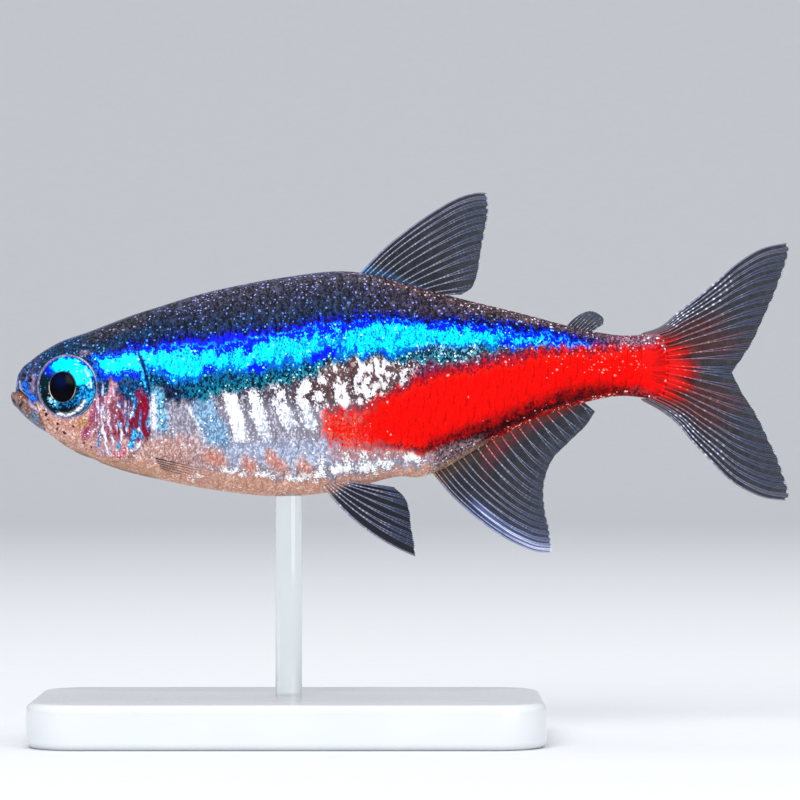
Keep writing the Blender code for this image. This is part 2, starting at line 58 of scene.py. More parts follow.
# Profiles of the flesh in the fish frame, as the solids have them, with the lips drawn closer
BACK = ((-0.23, -0.72), (-0.19, -0.6), (-0.12, -0.52), (-0.03, -0.46), (0.02, -0.4), (0.04, -0.1),
    (0.09, 0.18), (0.2, 0.4), (0.72, 0.9), (1.8, 1.62), (3.25, 2.16), (5.41, 2.98), (8.3, 3.92),
    (10.1, 4.33), (12.2, 4.7), (15.1, 4.94), (16.42, 4.74), (19.12, 3.97), (22.73, 3.07), (26.34, 2.19),
    (27.5, 2.06), (29.6, 2.25))
BELLY = ((-0.23, -0.76), (-0.18, -0.95), (0.05, -1.26), (0.68, -1.89), (1.35, -2.35), (2.53, -3.16),
    (3.97, -3.79), (6.49, -4.53), (9.2, -5.05), (12.36, -5.29), (15.06, -4.96), (17.4, -4.4),
    (18.25, -4.43), (18.8, -4.26), (21.38, -2.84), (24.99, -1.26), (27.24, -0.78), (29.6, -0.98))
HALF_WIDTH = ((-0.23, 0.16), (-0.1, 0.38), (0.1, 0.62), (0.5, 1.02), (1.35, 1.5), (2.4, 1.86), (3.6, 2.06),
    (5.4, 2.17), (8.5, 2.22), (13.0, 2.2), (17.3, 1.95), (20.3, 1.58), (23.3, 1.16), (26.3, 0.78),
    (28.3, 0.56), (29.6, 0.4))
WIDEST_SHARE = 0.47
SECTION_POWER = 2.1
NOISE_CELLS = 32
FLESH_END = 29.35
FLESH_MIDDLE = 0.62
FLESH_CURVE = 0.13
STALK_THIN = (27.6, 29.45)

# Rings of the skin: close at the head, wider behind the gill cover
TIP_RINGS = 26
HEAD_RINGS = 170
TRUNK_RINGS = 224
HEAD_END = 6.5
TIP_END = 0.45
AROUND = 118
HALF_TURNS = 180

# Head features in the fish frame
EYE_CENTRE = (2.315, -0.312)
EYE_RADII = (1.295, 1.39)
PUPIL_CENTRE = (2.09, -0.31)
PUPIL_RADII = (0.575, 0.68)
MOUTH_LINE = ((-0.6, -0.3), (0.13, -0.5), (0.85, -1.17))
MAXILLA = (0.34, -0.16, 0.83, -1.0, 0.11)
NOSTRILS = ((0.61, 0.0, 0.09), (0.36, 0.2, 0.07))
GILL_SLIT = ((3.7, -3.72), (4.46, -3.68), (5.1, -3.42), (5.66, -2.98), (6.0, -2.44), (6.13, -1.58),
    (6.04, -0.81), (5.89, 0.16), (5.5, 1.19), (5.26, 1.89), (5.05, 2.4))
PREOPERCLE = ((3.86, 1.2), (3.97, 0.0), (4.04, -1.13), (3.9, -2.03), (3.45, -2.75), (2.66, -2.98))
OPERCLE_FOLD = ((4.55, 1.2), (4.68, 0.0), (4.84, -1.13), (5.02, -2.25), (4.92, -2.95), (4.2, -3.3))
JAW_FOLD = ((0.9, -1.2), (1.1, -1.75), (1.35, -2.25))
THROAT_FOLD = ((3.7, -3.72), (2.6, -3.06), (1.6, -2.44))
CHEEK_FOLD = ((1.05, -1.65), (1.75, -2.1), (2.6, -2.25), (3.35, -1.8), (3.8, -0.95))
# Path of each fold, how far beside it, height and width
FOLDS = ((PREOPERCLE, 0, -0.05, 0.06), (PREOPERCLE, 0.12, 0.03, 0.06), (OPERCLE_FOLD, 0, -0.03, 0.05),
    (JAW_FOLD, 0, -0.04, 0.05), (THROAT_FOLD, 0, -0.05, 0.06), (CHEEK_FOLD, 0, -0.025, 0.06))

# Lines of the markings on the flank
CYAN_TOP = ((3.34, 0.99), (4.01, 1.13), (4.69, 1.22), (5.91, 1.44), (7.44, 1.35), (8.57, 1.44), (9.52, 1.4),
    (10.55, 1.67), (11.95, 2.07), (12.76, 2.2), (14.61, 2.44), (16.15, 2.57), (18.54, 2.53), (20.97, 2.25),
    (22.69, 2.07), (23.86, 1.85), (24.9, 1.68), (30.0, 1.5))
CYAN_BOTTOM = ((3.34, 0.41), (4.01, 0.36), (4.69, 0.41), (5.77, 0.5), (6.77, 0.3), (7.6, 0.0), (8.57, 0.45),
    (10.19, 0.5), (11.59, 0.6), (12.99, 0.85), (14.61, 1.1), (16.46, 1.26), (17.86, 1.45), (19.21, 1.6),
    (20.97, 1.65), (22.69, 1.6), (23.86, 1.58), (24.9, 1.62), (30.0, 1.5))
ROYAL_TOP = ((3.43, 1.26), (4.24, 1.35), (5.91, 1.62), (7.44, 1.8), (8.84, 1.89), (10.55, 2.12),
    (11.59, 2.3), (12.99, 2.55), (14.34, 2.66), (16.15, 2.8), (18.54, 2.75), (20.97, 2.53), (22.69, 2.36),
    (23.86, 2.21), (25.21, 1.98), (26.25, 1.8), (30.0, 1.6))
GILL_CYAN_TOP = ((3.34, 0.95), (4.01, 1.08), (4.69, 1.12), (5.91, 1.34), (7.0, 1.4))
TEAL_BOTTOM = ((3.43, -0.23), (4.69, -0.5), (5.91, -0.75), (6.95, -0.95), (8.3, -0.86), (9.52, -0.63),
    (11.59, -0.26), (12.99, 0.1), (14.34, 0.72), (15.42, 0.9), (16.87, 0.99), (17.86, 0.81), (19.21, 0.77),
    (20.61, 1.08), (22.01, 1.35), (23.63, 1.44), (30.0, 1.4))
RED_TOP = ((13.7, -1.5), (15.29, -1.42), (16.24, -1.08), (17.0, -0.62), (17.85, -0.26), (18.89, 0.18),
    (19.56, 0.4), (20.44, 0.52), (21.8, 0.76), (23.2, 1.06), (25.21, 1.35), (28.59, 1.38), (31.0, 1.3))
RED_BOTTOM = ((13.7, -2.55), (15.3, -3.02), (16.5, -3.0), (17.5, -3.0), (18.13, -3.25), (18.76, -3.0),
    (19.71, -2.56), (20.97, -2.12), (22.23, -1.61), (23.63, -1.04), (24.76, -0.68), (26.11, -0.45),
    (27.69, -0.54), (28.68, -0.8), (31.0, -0.7))
MAROON_TOP = ((17.0, 0.3), (18.54, 0.75), (19.57, 0.77), (20.93, 1.04), (22.05, 1.35), (23.18, 1.45),
    (24.53, 1.5), (25.89, 1.6), (27.24, 1.68), (31.0, 1.72))
PEACH_TOP = ((0.63, -1.8), (1.98, -2.53), (3.34, -3.25), (4.69, -3.61), (6.49, -3.7), (8.3, -3.97),
    (10.55, -4.33), (12.81, -4.5), (15.06, -4.34), (16.87, -4.06), (18.22, -3.88), (20.0, -3.6))

# Short strokes on the head and flank: start s and z, end s and z, half width
WHITE_STROKES = ((3.95, -1.2, 3.92, -1.62, 0.04), (3.94, -1.9, 3.99, -2.6, 0.09),
    (3.99, -2.6, 4.15, -3.2, 0.08), (4.64, -1.14, 4.86, -1.8, 0.035), (4.86, -1.8, 4.98, -2.45, 0.03),
    (4.28, -2.25, 4.46, -2.85, 0.04), (5.56, -2.05, 5.75, -2.55, 0.04), (4.8, -2.4, 4.72, -2.74, 0.09),
    (5.55, -2.8, 5.5, -3.0, 0.09), (3.85, -3.22, 4.3, -3.25, 0.05), (5.25, -1.35, 5.2, -1.72, 0.025),
    (4.1, -1.75, 4.22, -2.05, 0.03), (5.1, -1.3, 5.05, -1.6, 0.02), (5.42, -2.62, 5.38, -2.88, 0.04))
BLUE_STROKES = ((4.92, -1.76, 5.02, -1.2, 0.05), (5.23, -1.75, 5.36, -0.8, 0.07),
    (5.14, -3.05, 5.4, -2.3, 0.13), (4.6, -2.9, 4.78, -2.66, 0.08), (4.7, -1.05, 4.78, -1.44, 0.05),
    (3.68, -1.16, 3.66, -1.62, 0.05), (3.8, -2.4, 3.7, -3.05, 0.06), (5.62, -2.45, 5.66, -2.75, 0.05),
    (3.9, -1.15, 4.0, -1.45, 0.03), (4.4, -1.6, 4.46, -1.9, 0.03))
SLIT_GLOW = ((5.5, 1.35, 5.82, -0.14, 0.06),)
PALE_BAND = ((4.42, -0.18, 3.92, -1.58, 0.16),)
MAGENTA_BAND = ((3.7, -0.99, 3.16, -2.53, 0.2),)
GOLD_PATCH = ((2.89, -2.12, 3.11, -1.98, 0.18),)
RED_SPOT = ((4.44, -3.38, 4.87, -3.25, 0.14),)
CRIMSON = ((5.58, -0.55, 5.78, -1.2, 0.2), (5.8, -1.2, 5.82, -2.3, 0.24), (5.25, -2.05, 5.7, -2.2, 0.16),
    (4.8, -1.55, 5.3, -1.9, 0.17), (4.82, -1.62, 4.9, -1.95, 0.12), (4.55, -2.35, 4.7, -2.2, 0.14))
OPERCLE_BLUE = ((4.85, -0.35, 5.15, -0.8, 0.22),)
CHEEK_DOTS = ((1.26, -1.4, 0.07), (1.37, -1.58, 0.08), (1.44, -1.8, 0.05), (1.89, -1.98, 0.07),
    (1.85, -2.21, 0.05), (2.18, -2.38, 0.08), (2.57, -2.1, 0.06), (3.07, -2.86, 0.05), (3.4, -3.07, 0.05))
# Painted shadow behind the upper gill slit, under the gill cover's edge
SLIT_SHADE = ((5.6, 1.05, 5.92, 0.1, 0.07), (5.92, 0.1, 6.02, -0.55, 0.05))
SHOULDER_WHITE = ((6.14, -0.72, 6.2, -2.16, 0.11),)
SHOULDER_BLUE = ((6.4, -0.54, 6.63, -2.03, 0.23),)
SHOULDER_DARK = ((6.5, -0.45, 7.15, -0.6, 0.3),)
BELLY_BARS = ((9.68, -1.0, 10.19, -2.5, 0.25), (10.73, -0.8, 10.95, -1.4, 0.15),
    (10.85, -1.4, 11.28, -2.6, 0.17), (11.82, -0.5, 12.04, -1.44, 0.2), (12.04, -1.44, 12.45, -1.98, 0.17),
    (12.9, -0.2, 13.26, -1.89, 0.26), (13.67, 0.0, 13.94, -1.17, 0.24), (14.48, 0.5, 14.84, -1.44, 0.24),
    (15.74, 0.8, 15.6, -0.81, 0.26), (16.5, 0.75, 16.45, -0.5, 0.38), (17.35, 0.45, 17.55, -0.15, 0.26),
    (18.05, 0.35, 18.1, 0.1, 0.14))
SILVER_LINES = ((7.71, -1.13, 8.48, -2.75, 0.05), (11.77, -1.08, 12.58, -3.02, 0.05),
    (9.29, -0.36, 9.7, -1.44, 0.04))
PALE_BLUE = ((8.45, -1.3, 9.1, -2.6, 0.52),)
BELLY_WHITE = ((7.95, -4.33, 8.34, -4.33, 0.13), (9.43, -4.08, 10.15, -4.12, 0.16),
    (10.87, -4.25, 11.52, -4.28, 0.14), (12.35, -4.36, 13.8, -4.24, 0.18), (14.4, -3.95, 15.0, -4.02, 0.22),
    (14.9, -3.5, 15.05, -3.9, 0.13), (15.75, -3.15, 15.65, -3.6, 0.12), (15.55, -3.97, 16.15, -3.95, 0.2),
    (16.45, -3.8, 16.8, -3.8, 0.18), (16.75, -3.4, 16.8, -3.7, 0.1), (17.65, -3.45, 18.1, -3.52, 0.2),
    (13.75, -3.65, 13.8, -4.1, 0.12))
ORANGE_SPOTS = ((8.6, -3.48, 9.25, -3.6, 0.2), (10.38, -3.7, 10.66, -4.0, 0.16),
    (11.55, -3.55, 11.98, -3.95, 0.19), (12.85, -3.7, 13.2, -4.0, 0.16))
GLITTER = ((18.22, 1.31, 19.3, 1.49, 0.18), (19.66, 1.31, 20.75, 1.35, 0.2))

THROAT_EDGE = ((0.3, -2.0), (1.3, -2.45), (2.5, -3.05), (3.7, -3.45), (4.7, -3.6), (6.5, -3.95))
JAW_TOP = ((-0.6, -0.2), (0.13, -0.48), (0.9, -1.22), (1.3, -2.2), (1.5, -3.0))
JAW_RED = ((0.15, -0.7, 0.62, -1.32, 0.05),)
JAW_BLUE = ((0.72, -1.52, 0.92, -1.84, 0.1),)
JAW_DARK = ((-0.06, -0.88, -0.06, -0.88, 0.09), (0.22, -1.15, 0.22, -1.15, 0.1))
LIP_EDGE = ((0.16, -0.02, 0.26, -0.5, 0.03), (0.26, -0.5, 0.72, -1.16, 0.04),
    (0.72, -1.16, 1.02, -1.5, 0.03))
# The mouth gap's strokes carry painted shade in the mouth's groove
MOUTH_GAP = ((-0.1, -0.455, 0.12, -0.475, 0.025), (0.12, -0.475, 0.42, -0.82, 0.03))
NOSTRIL_BRIDGE = ((0.8, 0.1, 0.74, -0.4, 0.1), (0.48, -0.08, 0.62, -0.2, 0.06))
EYE_CORNER = ((2.9, 1.2, 3.38, 1.18, 0.07),)

# Fins: roots sunk in the flesh, edges as the solids have them; s and z
ROOT_DEPTH = 0.15
DORSAL_ROOT = (15.5, 16.4, 17.6, 19.2)
DORSAL_BOW = ((0.0, 0.0), (0.2, 0.33), (0.38, 0.5), (0.66, 0.58), (0.79, 0.54), (0.906, 0.36),
    (0.969, 0.16), (1.0, 0.0))
DORSAL_EDGE = ((21.24, 8.41), (21.31, 7.73), (21.15, 6.72), (20.96, 5.71), (20.8, 4.76), (20.56, 4.16),
    (20.1, 3.86))
ADIPOSE_ROOT = (24.8, 25.35, 25.9)
ADIPOSE_EDGE = ((25.55, 3.02), (25.9, 3.11), (26.25, 3.0), (26.5, 2.75), (26.48, 2.52))
ANAL_ROOT = (18.78, 20.15, 21.5, 23.5, 25.55)
ANAL_BOW = ((0.0, 0.0), (0.17, -0.33), (0.35, -0.54), (0.55, -0.64), (0.77, -0.56), (0.93, -0.28),
    (1.0, 0.0))
ANAL_EDGE = ((24.18, -7.77), (24.07, -6.83), (23.84, -5.7), (23.82, -4.7), (24.2, -3.6), (25.0, -2.75),
    (25.75, -2.0), (26.12, -1.42))
UPPER_ROOT = ((28.2, 2.05), (28.75, 1.95), (29.05, 1.6), (29.15, 1.1), (29.2, 0.62))
UPPER_EDGE = ((34.78, 6.17), (34.87, 5.95), (34.82, 5.62), (34.54, 4.75), (34.14, 3.7), (33.73, 2.82),
    (33.25, 1.77), (32.77, 1.0), (32.3, 0.34))
LOWER_ROOT = ((28.2, -0.85), (28.75, -0.75), (29.05, -0.35), (29.15, 0.1), (29.2, 0.62))
LOWER_EDGE = ((34.72, -5.42), (34.86, -5.25), (34.83, -4.95), (34.62, -4.27), (34.37, -3.55),
    (34.05, -2.89), (33.33, -1.44), (32.85, -0.72), (32.3, 0.34))
PELVIC_ROOT = (13.85, 14.4, 14.9)
PELVIC_ROOT_Y = 0.95
PELVIC_EDGE = ((18.02, -7.88), (17.95, -7.3), (17.82, -6.6), (17.76, -5.95), (17.52, -5.3), (17.05, -4.86))
PELVIC_SPLAY = 0.22
PECTORAL_ROOT = ((6.3, -3.5), (6.38, -3.72), (6.5, -3.94))
PECTORAL_EDGE = ((9.62, 3.35, -4.18), (9.75, 2.85, -4.34), (9.35, 2.3, -4.48), (8.65, 1.95, -4.55))
PECTORAL_BULGE = 0.18
TAIL_HUB = (29.2, 0.42)
UPPER_BOW = ((0.0, 0.0), (0.12, -0.2), (0.25, -0.05), (0.38, 0.04), (0.52, 0.19), (0.7, 0.41), (0.87, 0.36),
    (1.0, 0.0))
LOWER_BOW = ((0.0, 0.0), (0.12, 0.1), (0.25, 0.04), (0.37, -0.22), (0.52, -0.46), (0.68, -0.68),
    (0.8, -0.62), (0.9, -0.42), (1.0, 0.0))
INNER_RAY = 0.975
RAY_BEYOND = 6.0

RAY_STEPS = 80
RAY_SIDES = 6
BRANCH_SPREAD = (0.2, 0.095)
BRANCH_RADIUS = (0.78, 0.64)
WORN_EDGE = 0.009
DOT_DRAWS = 4096

SCALE_FRONT = 4.9
SCALE_REAR = 27.9
SCALE_GRID = 11
SCALE_ROWS = 14
SCALE_COLUMNS = 40
EYE_RINGS = (72, 22, 12)
EYE_AROUND = 192
EYE_SINK = 0.75

BASE_SIZE = (23.0, 13.0, 2.0)
BASE_CORNER = 2.4
BASE_EDGE = 0.35
CORNER_STEPS = 17
ROD_PLACE = 12.3
ROD_RADIUS = 0.6
ROD_EDGE = 0.08

# Studio: lamp name, place in metres, watts and size; the point they face
LAMPS = (("key", (-0.1, -0.26, 0.2), 0.62, 0.16), ("fill", (0.2, -0.24, 0.08), 0.3, 0.2),
    ("top", (0.02, 0.04, 0.3), 0.4, 0.2))
LAMP_AIM = (0.0, 0.0, 0.016)
WORLD_STRENGTH = 0.72


def linear(hex_colour):
    """Linear RGB of an sRGB hex colour."""
    code = hex_colour.lstrip("#")
    value = np.array([int(code[i:i + 2], 16) for i in (0, 2, 4)]) / 255.0
    return tuple(float(v) for v in np.where(value <= 0.04045, value / 12.92,
        ((value + 0.055) / 1.055) ** 2.4))


def in_world(points):
    """Fish frame in millimetres to the CAD frame in metres."""
    return (np.asarray(points) - ((JAW_TIP + TAIL_TIP) / 2, 0, -AXIS_HEIGHT)) * MM


def ease(value):
    """0 below 0, 1 above 1, and the cubic 3x^2 - 2x^3 between."""
    t = np.clip(value, 0, 1)
    return t * t * (3 - 2 * t)


def ramp(value, start, width):
    """Smooth step of how far a value is past a start, over a width."""
    return ease((value - start) / width)


def curve(stations, place):
    """Cubic Hermite curve through (place, value) stations, with the slopes of their differences."""
    at, value = np.array(stations, dtype=float).T
    slope = np.gradient(value, at)
    span = np.clip(np.searchsorted(at, place) - 1, 0, len(at) - 2)
    width = at[span + 1] - at[span]
    t = np.clip((place - at[span]) / width, 0, 1)
    return (value[span] * (2 * t**3 - 3 * t**2 + 1) + slope[span] * width * (t**3 - 2 * t**2 + t) +
        value[span + 1] * (3 * t**2 - 2 * t**3) + slope[span + 1] * width * (t**3 - t**2))


def along(points, share):
    """Point at a share of a smooth curve through points, by the length of its chords."""
    points = np.array(points, dtype=float)
    steps = np.linalg.norm(np.diff(points, axis=0), axis=1)
    at = np.concatenate([[0], np.cumsum(steps)]) / steps.sum()
    columns = [curve(np.stack([at, column], axis=1), share) for column in points.T]
    return np.stack(columns, axis=-1)


def value_noise(points, size, seed):
    """Smooth noise from 0 to 1: random values on a lattice of that size in mm, blended by smooth steps."""
    table = np.random.default_rng(seed).random((NOISE_CELLS,) * 3)
    scaled = np.asarray(points) / size
    cell = np.floor(scaled).astype(int)
    part = ease(scaled - cell)
    total = np.zeros(scaled.shape[:-1])
    for corner in np.ndindex(2, 2, 2):
        index = (cell + corner) % NOISE_CELLS
        weight = np.prod(np.where(np.array(corner) == 1, part, 1 - part), axis=-1)
        total += weight * table[index[..., 0], index[..., 1], index[..., 2]]
    return total


def stroke_distance(s, z, stroke):
    """Distance to the line between two points, less the half width: below 0 inside the stroke."""
    s0, z0, s1, z1, half_width = stroke
    run, rise = s1 - s0, z1 - z0
    share = np.clip(((s - s0) * run + (z - z0) * rise) / max(run * run + rise * rise, 1e-9), 0, 1)
    return np.hypot(s - s0 - share * run, z - z0 - share * rise) - half_width


def path_distance(s, z, path):
    """Distance to a chain of straight lines."""
    chords = [stroke_distance(s, z, (*start, *end, 0.0)) for start, end in zip(path[:-1], path[1:])]
    return np.min(chords, axis=0)


def grid_faces(rows, columns, wrap=False):
    """Four corners of each face between neighbours in a grid; wrap closes it across the columns."""
    row = np.arange(rows - 1)[:, None] * columns
    column = np.arange(columns if wrap else columns - 1)[None, :]
    right = (column + 1) % columns
    return np.stack([row + column, row + right, row + right + columns, row + column + columns],
        -1).reshape(-1, 4)


def sheet_faces(rows, columns):
    """Faces of a closed sheet: a grid, its copy turned over behind it, and strips between their rims."""
    top = grid_faces(rows, columns)
    count = rows * columns
    border = np.concatenate([np.arange(columns - 1), np.arange(rows - 1) * columns + columns - 1,
        count - 1 - np.arange(columns - 1), (rows - 1 - np.arange(rows - 1)) * columns])
    following = np.roll(border, -1)
    rim = np.stack([following, border, border + count, following + count], -1)
    return np.concatenate([top, top[:, ::-1] + count, rim])


def end_fans(rows, columns):
    """Triangles from the first and the last ring of a tube to the two points that follow its grid."""
    column = np.arange(columns)
    ahead = (column + 1) % columns
    tip = np.full(columns, rows * columns)
    last = (rows - 1) * columns
    return np.concatenate([grid_faces(rows, columns, wrap=True), np.stack([ahead, column, tip, tip], -1),
        np.stack([column + last, ahead + last, tip + 1, tip + 1], -1)])


def volume(points, quads):
    """Signed volume inside quads, by the sum of their cones to the origin."""
    a, b, c, d = (points[quads[:, i]] for i in range(4))
    return float(np.sum(np.cross(a, b) * c) + np.sum(np.cross(a, c) * d)) / 6


def add_piece(name, points, faces, material, replaces, paint=None, patch=None):
    """A mesh piece on the root body from points in the fish frame. Quads are turned outwards together."""
    if volume(points, faces) < 0:
        faces = faces[:, ::-1]
    tidy = [tuple(dict.fromkeys(face)) for face in faces.tolist()]
    mesh = bpy.data.meshes.new(name)
    mesh.from_pydata(in_world(points), [], tidy)
    mesh.shade_smooth()
    for label, values in (paint or {}).items():
        layer = mesh.attributes.new(label, "FLOAT_COLOR", "POINT")
        layer.data.foreach_set("color", np.ascontiguousarray(values, dtype=np.float32).ravel())
    if patch is not None:
        corner = np.zeros(len(mesh.loops), dtype=np.int32)
        mesh.loops.foreach_get("vertex_index", corner)
        layer = mesh.uv_layers.new(name="OFBake")
        layer.uv.foreach_set("vector", patch[corner].astype(np.float32).ravel())
    mesh.materials.append(material)
    mesh.validate()
    piece = bpy.data.objects.new(name, mesh)
    bpy.context.scene.collection.objects.link(piece)
    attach(piece, "root")
    if replaces:
        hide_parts(*replaces)


def add_node(tree, kind, inputs=None, **settings):
    """Adds a shader node, sets its properties, and gives its sockets a value, or a link from a socket or a
    node's first output."""
    made = tree.nodes.new("ShaderNode" + kind)
    for key, value in settings.items():
        setattr(made, key, value)
    for key, value in (inputs or {}).items():
        if isinstance(value, bpy.types.Node):
            value = value.outputs[0]
        if isinstance(value, bpy.types.NodeSocket):
            tree.links.new(value, made.inputs[key])
        else:
            made.inputs[key].default_value = value
    return made


def new_material(name):
    """An empty material, its node tree and a point's coordinates on the object."""
    material = bpy.data.materials.new(name)
    material.use_nodes = True
    tree = material.node_tree
    tree.nodes.clear()
    return material, tree, add_node(tree, "TexCoord").outputs["Object"]


def section(place, turn):
    """Point on the flesh: a superellipse across the body, widest at WIDEST_SHARE of its depth."""
    top = curve(BACK, place)
    bottom = curve(BELLY, place)
    half = curve(HALF_WIDTH, place)
    widest = bottom + WIDEST_SHARE * (top - bottom)
    power = 2 / SECTION_POWER
    side = half * np.abs(np.cos(turn)) ** power
    reach = np.where(turn > 0, top - widest, widest - bottom)
    height = widest + reach * np.sign(np.sin(turn)) * np.abs(np.sin(turn)) ** power
    return np.stack(np.broadcast_arrays(place, side, height), axis=-1)


def stations():
    """Places of the skin's rings: squared steps at the snout, even over the head, wider behind."""
    tip = JAW_TIP + 0.001 + (TIP_END - JAW_TIP) * np.linspace(0, 1, TIP_RINGS, endpoint=False) ** 2
    head = np.linspace(TIP_END, HEAD_END, HEAD_RINGS, endpoint=False)
    trunk = np.linspace(HEAD_END, FLESH_END + 0.1, TRUNK_RINGS)
    return np.concatenate([tip, head, trunk])


def flank():
    """One side of the flesh as a grid, evenly spaced over the arc from the back to the belly at each ring.

    Gives the stations, the points and their outward normals, the arc's length and the arc down to the
    widest line.
    """
    place = stations()
    turn = np.linspace(np.pi / 2, -np.pi / 2, 2 * HALF_TURNS + 1)
    fine = section(place[:, None], turn[None, :])
    steps = np.linalg.norm(np.diff(fine, axis=1), axis=2)
    reach = np.concatenate([np.zeros((len(place), 1)), np.cumsum(steps, axis=1)], axis=1)
    shares = np.linspace(0, 1, AROUND + 1)
    turns = np.array([np.interp(shares * arc[-1], arc, turn) for arc in reach])
    side = section(place[:, None], turns)
    side[:, [0, -1], 1] = 0
    shift = ramp(place, 26.0, 3.0)[:, None]
    side[..., 0] -= shift * FLESH_CURVE * (side[..., 2] - FLESH_MIDDLE) ** 2
    ring = full_ring(side)
    normal = ring_normals(ring)[:, :AROUND + 1]
    return place, side, normal, reach[:, -1], reach[:, HALF_TURNS]


def full_ring(side):
    """A side's grid continued round the other side, from the belly up to the back."""
    other = side[:, -2:0:-1] * (1, -1, 1)
    return np.concatenate([side, other], axis=1)


def ring_normals(ring):
    """Outward unit normals of rings closed across their columns."""
    ahead = np.gradient(ring, axis=0)
    across = np.roll(ring, -1, axis=1) - np.roll(ring, 1, axis=1)
    normal = np.cross(ahead, across)
    normal /= np.linalg.norm(normal, axis=2, keepdims=True) + 1e-12
    centre = ring.mean(axis=1, keepdims=True)
    outward = np.sign(np.sum(normal[..., 1:] * (ring - centre)[..., 1:], axis=(1, 2)))
    return normal * outward[:, None, None]


PLACE, FLANK, FLANK_NORMAL, ARC, ARC_MIDDLE = flank()


def on_flank(place, share, height):
    """Point of the flesh at a place and a share of the arc from back to belly, raised along the normal."""
    row = np.clip(np.interp(place, PLACE, np.arange(len(PLACE))), 0, len(PLACE) - 1.001)
    column = np.clip(share, 0, 1) * AROUND
    column = np.minimum(column, AROUND - 0.001)
    i, j = row.astype(int), column.astype(int)
    a, b = (row - i)[..., None], (column - j)[..., None]
    point, normal = (grid[i, j] * (1 - a) * (1 - b) + grid[i + 1, j] * a * (1 - b) +
        grid[i, j + 1] * (1 - a) * b + grid[i + 1, j + 1] * a * b for grid in (FLANK, FLANK_NORMAL))
    return point + normal * np.asarray(height)[..., None]


def slit_place(height):
    """The gill slit's place at a height."""
    path = np.array(sorted((z, s) for s, z in GILL_SLIT))
    return curve(path, height)


def eye_share(s, z):
    """Distance from the eye's centre in shares of its radii."""
    return np.hypot((s - EYE_CENTRE[0]) / EYE_RADII[0], (z - EYE_CENTRE[1]) / EYE_RADII[1])


def relief(s, z):
    """Height of the head's forms over the flesh: mouth, nostrils, eye socket, folds and gill cover."""
    mouth = path_distance(s, z, MOUTH_LINE)
    corner = ramp(1.05, s, 0.25)
    height = -0.26 * corner * np.exp(-(mouth / 0.055) ** 2)
    height += 0.055 * corner * ramp(s, -0.12, 0.25) * np.exp(-((mouth - 0.15) / 0.08) ** 2)
    maxilla = stroke_distance(s, z, MAXILLA)
    height += 0.05 * ease(-maxilla / 0.05 + 0.5)
    for nostril_s, nostril_z, radius in NOSTRILS:
        away = np.hypot(s - nostril_s, z - nostril_z)
        rim = 0.03 * np.exp(-((away - radius - 0.06) / 0.04) ** 2)
        height += rim - 0.16 * ease((radius - away) / 0.05 + 0.5)
    eye = eye_share(s, z)
    height += -0.55 * ramp(1.0, eye, 0.05) + 0.05 * np.exp(-((eye - 1.03) / 0.022) ** 2)
    height -= 0.02 * np.exp(-((eye - 1.085) / 0.025) ** 2)
    behind = s - slit_place(z)
    span = ramp(2.35, z, 0.4) * ramp(z, -3.75, 0.3)
    cover = ramp(behind, -1.9, 1.7) * (behind < 0) * 0.1
    step = -0.13 * ease(behind / 0.04 + 0.5) * ramp(0.75, behind, 0.65)
    height += span * (cover + step)
    for path, beside, rise, width in FOLDS:
        height += rise * np.exp(-((path_distance(s, z, path) - beside) / width) ** 2)
    return height * ramp(8.0, s, 0.8)


def as_seen(points):
    """Where the photograph shows a point: its s and z carried from the camera to the middle plane."""
    points = np.asarray(points)
    grow = (CAMERA_REACH / (CAMERA_REACH - np.abs(points[..., 1])))[..., None]
    return PHOTO_CENTRE + (points[..., ::2] - PHOTO_CENTRE) * grow


def from_seen(s, y, z):
    """The point at depth y that the photograph shows at s and z."""
    grow = CAMERA_REACH / (CAMERA_REACH - np.abs(y))
    return np.stack([PHOTO_CENTRE[0] + (s - PHOTO_CENTRE[0]) / grow, y + 0 * s,
        PHOTO_CENTRE[1] + (z - PHOTO_CENTRE[1]) / grow], -1)


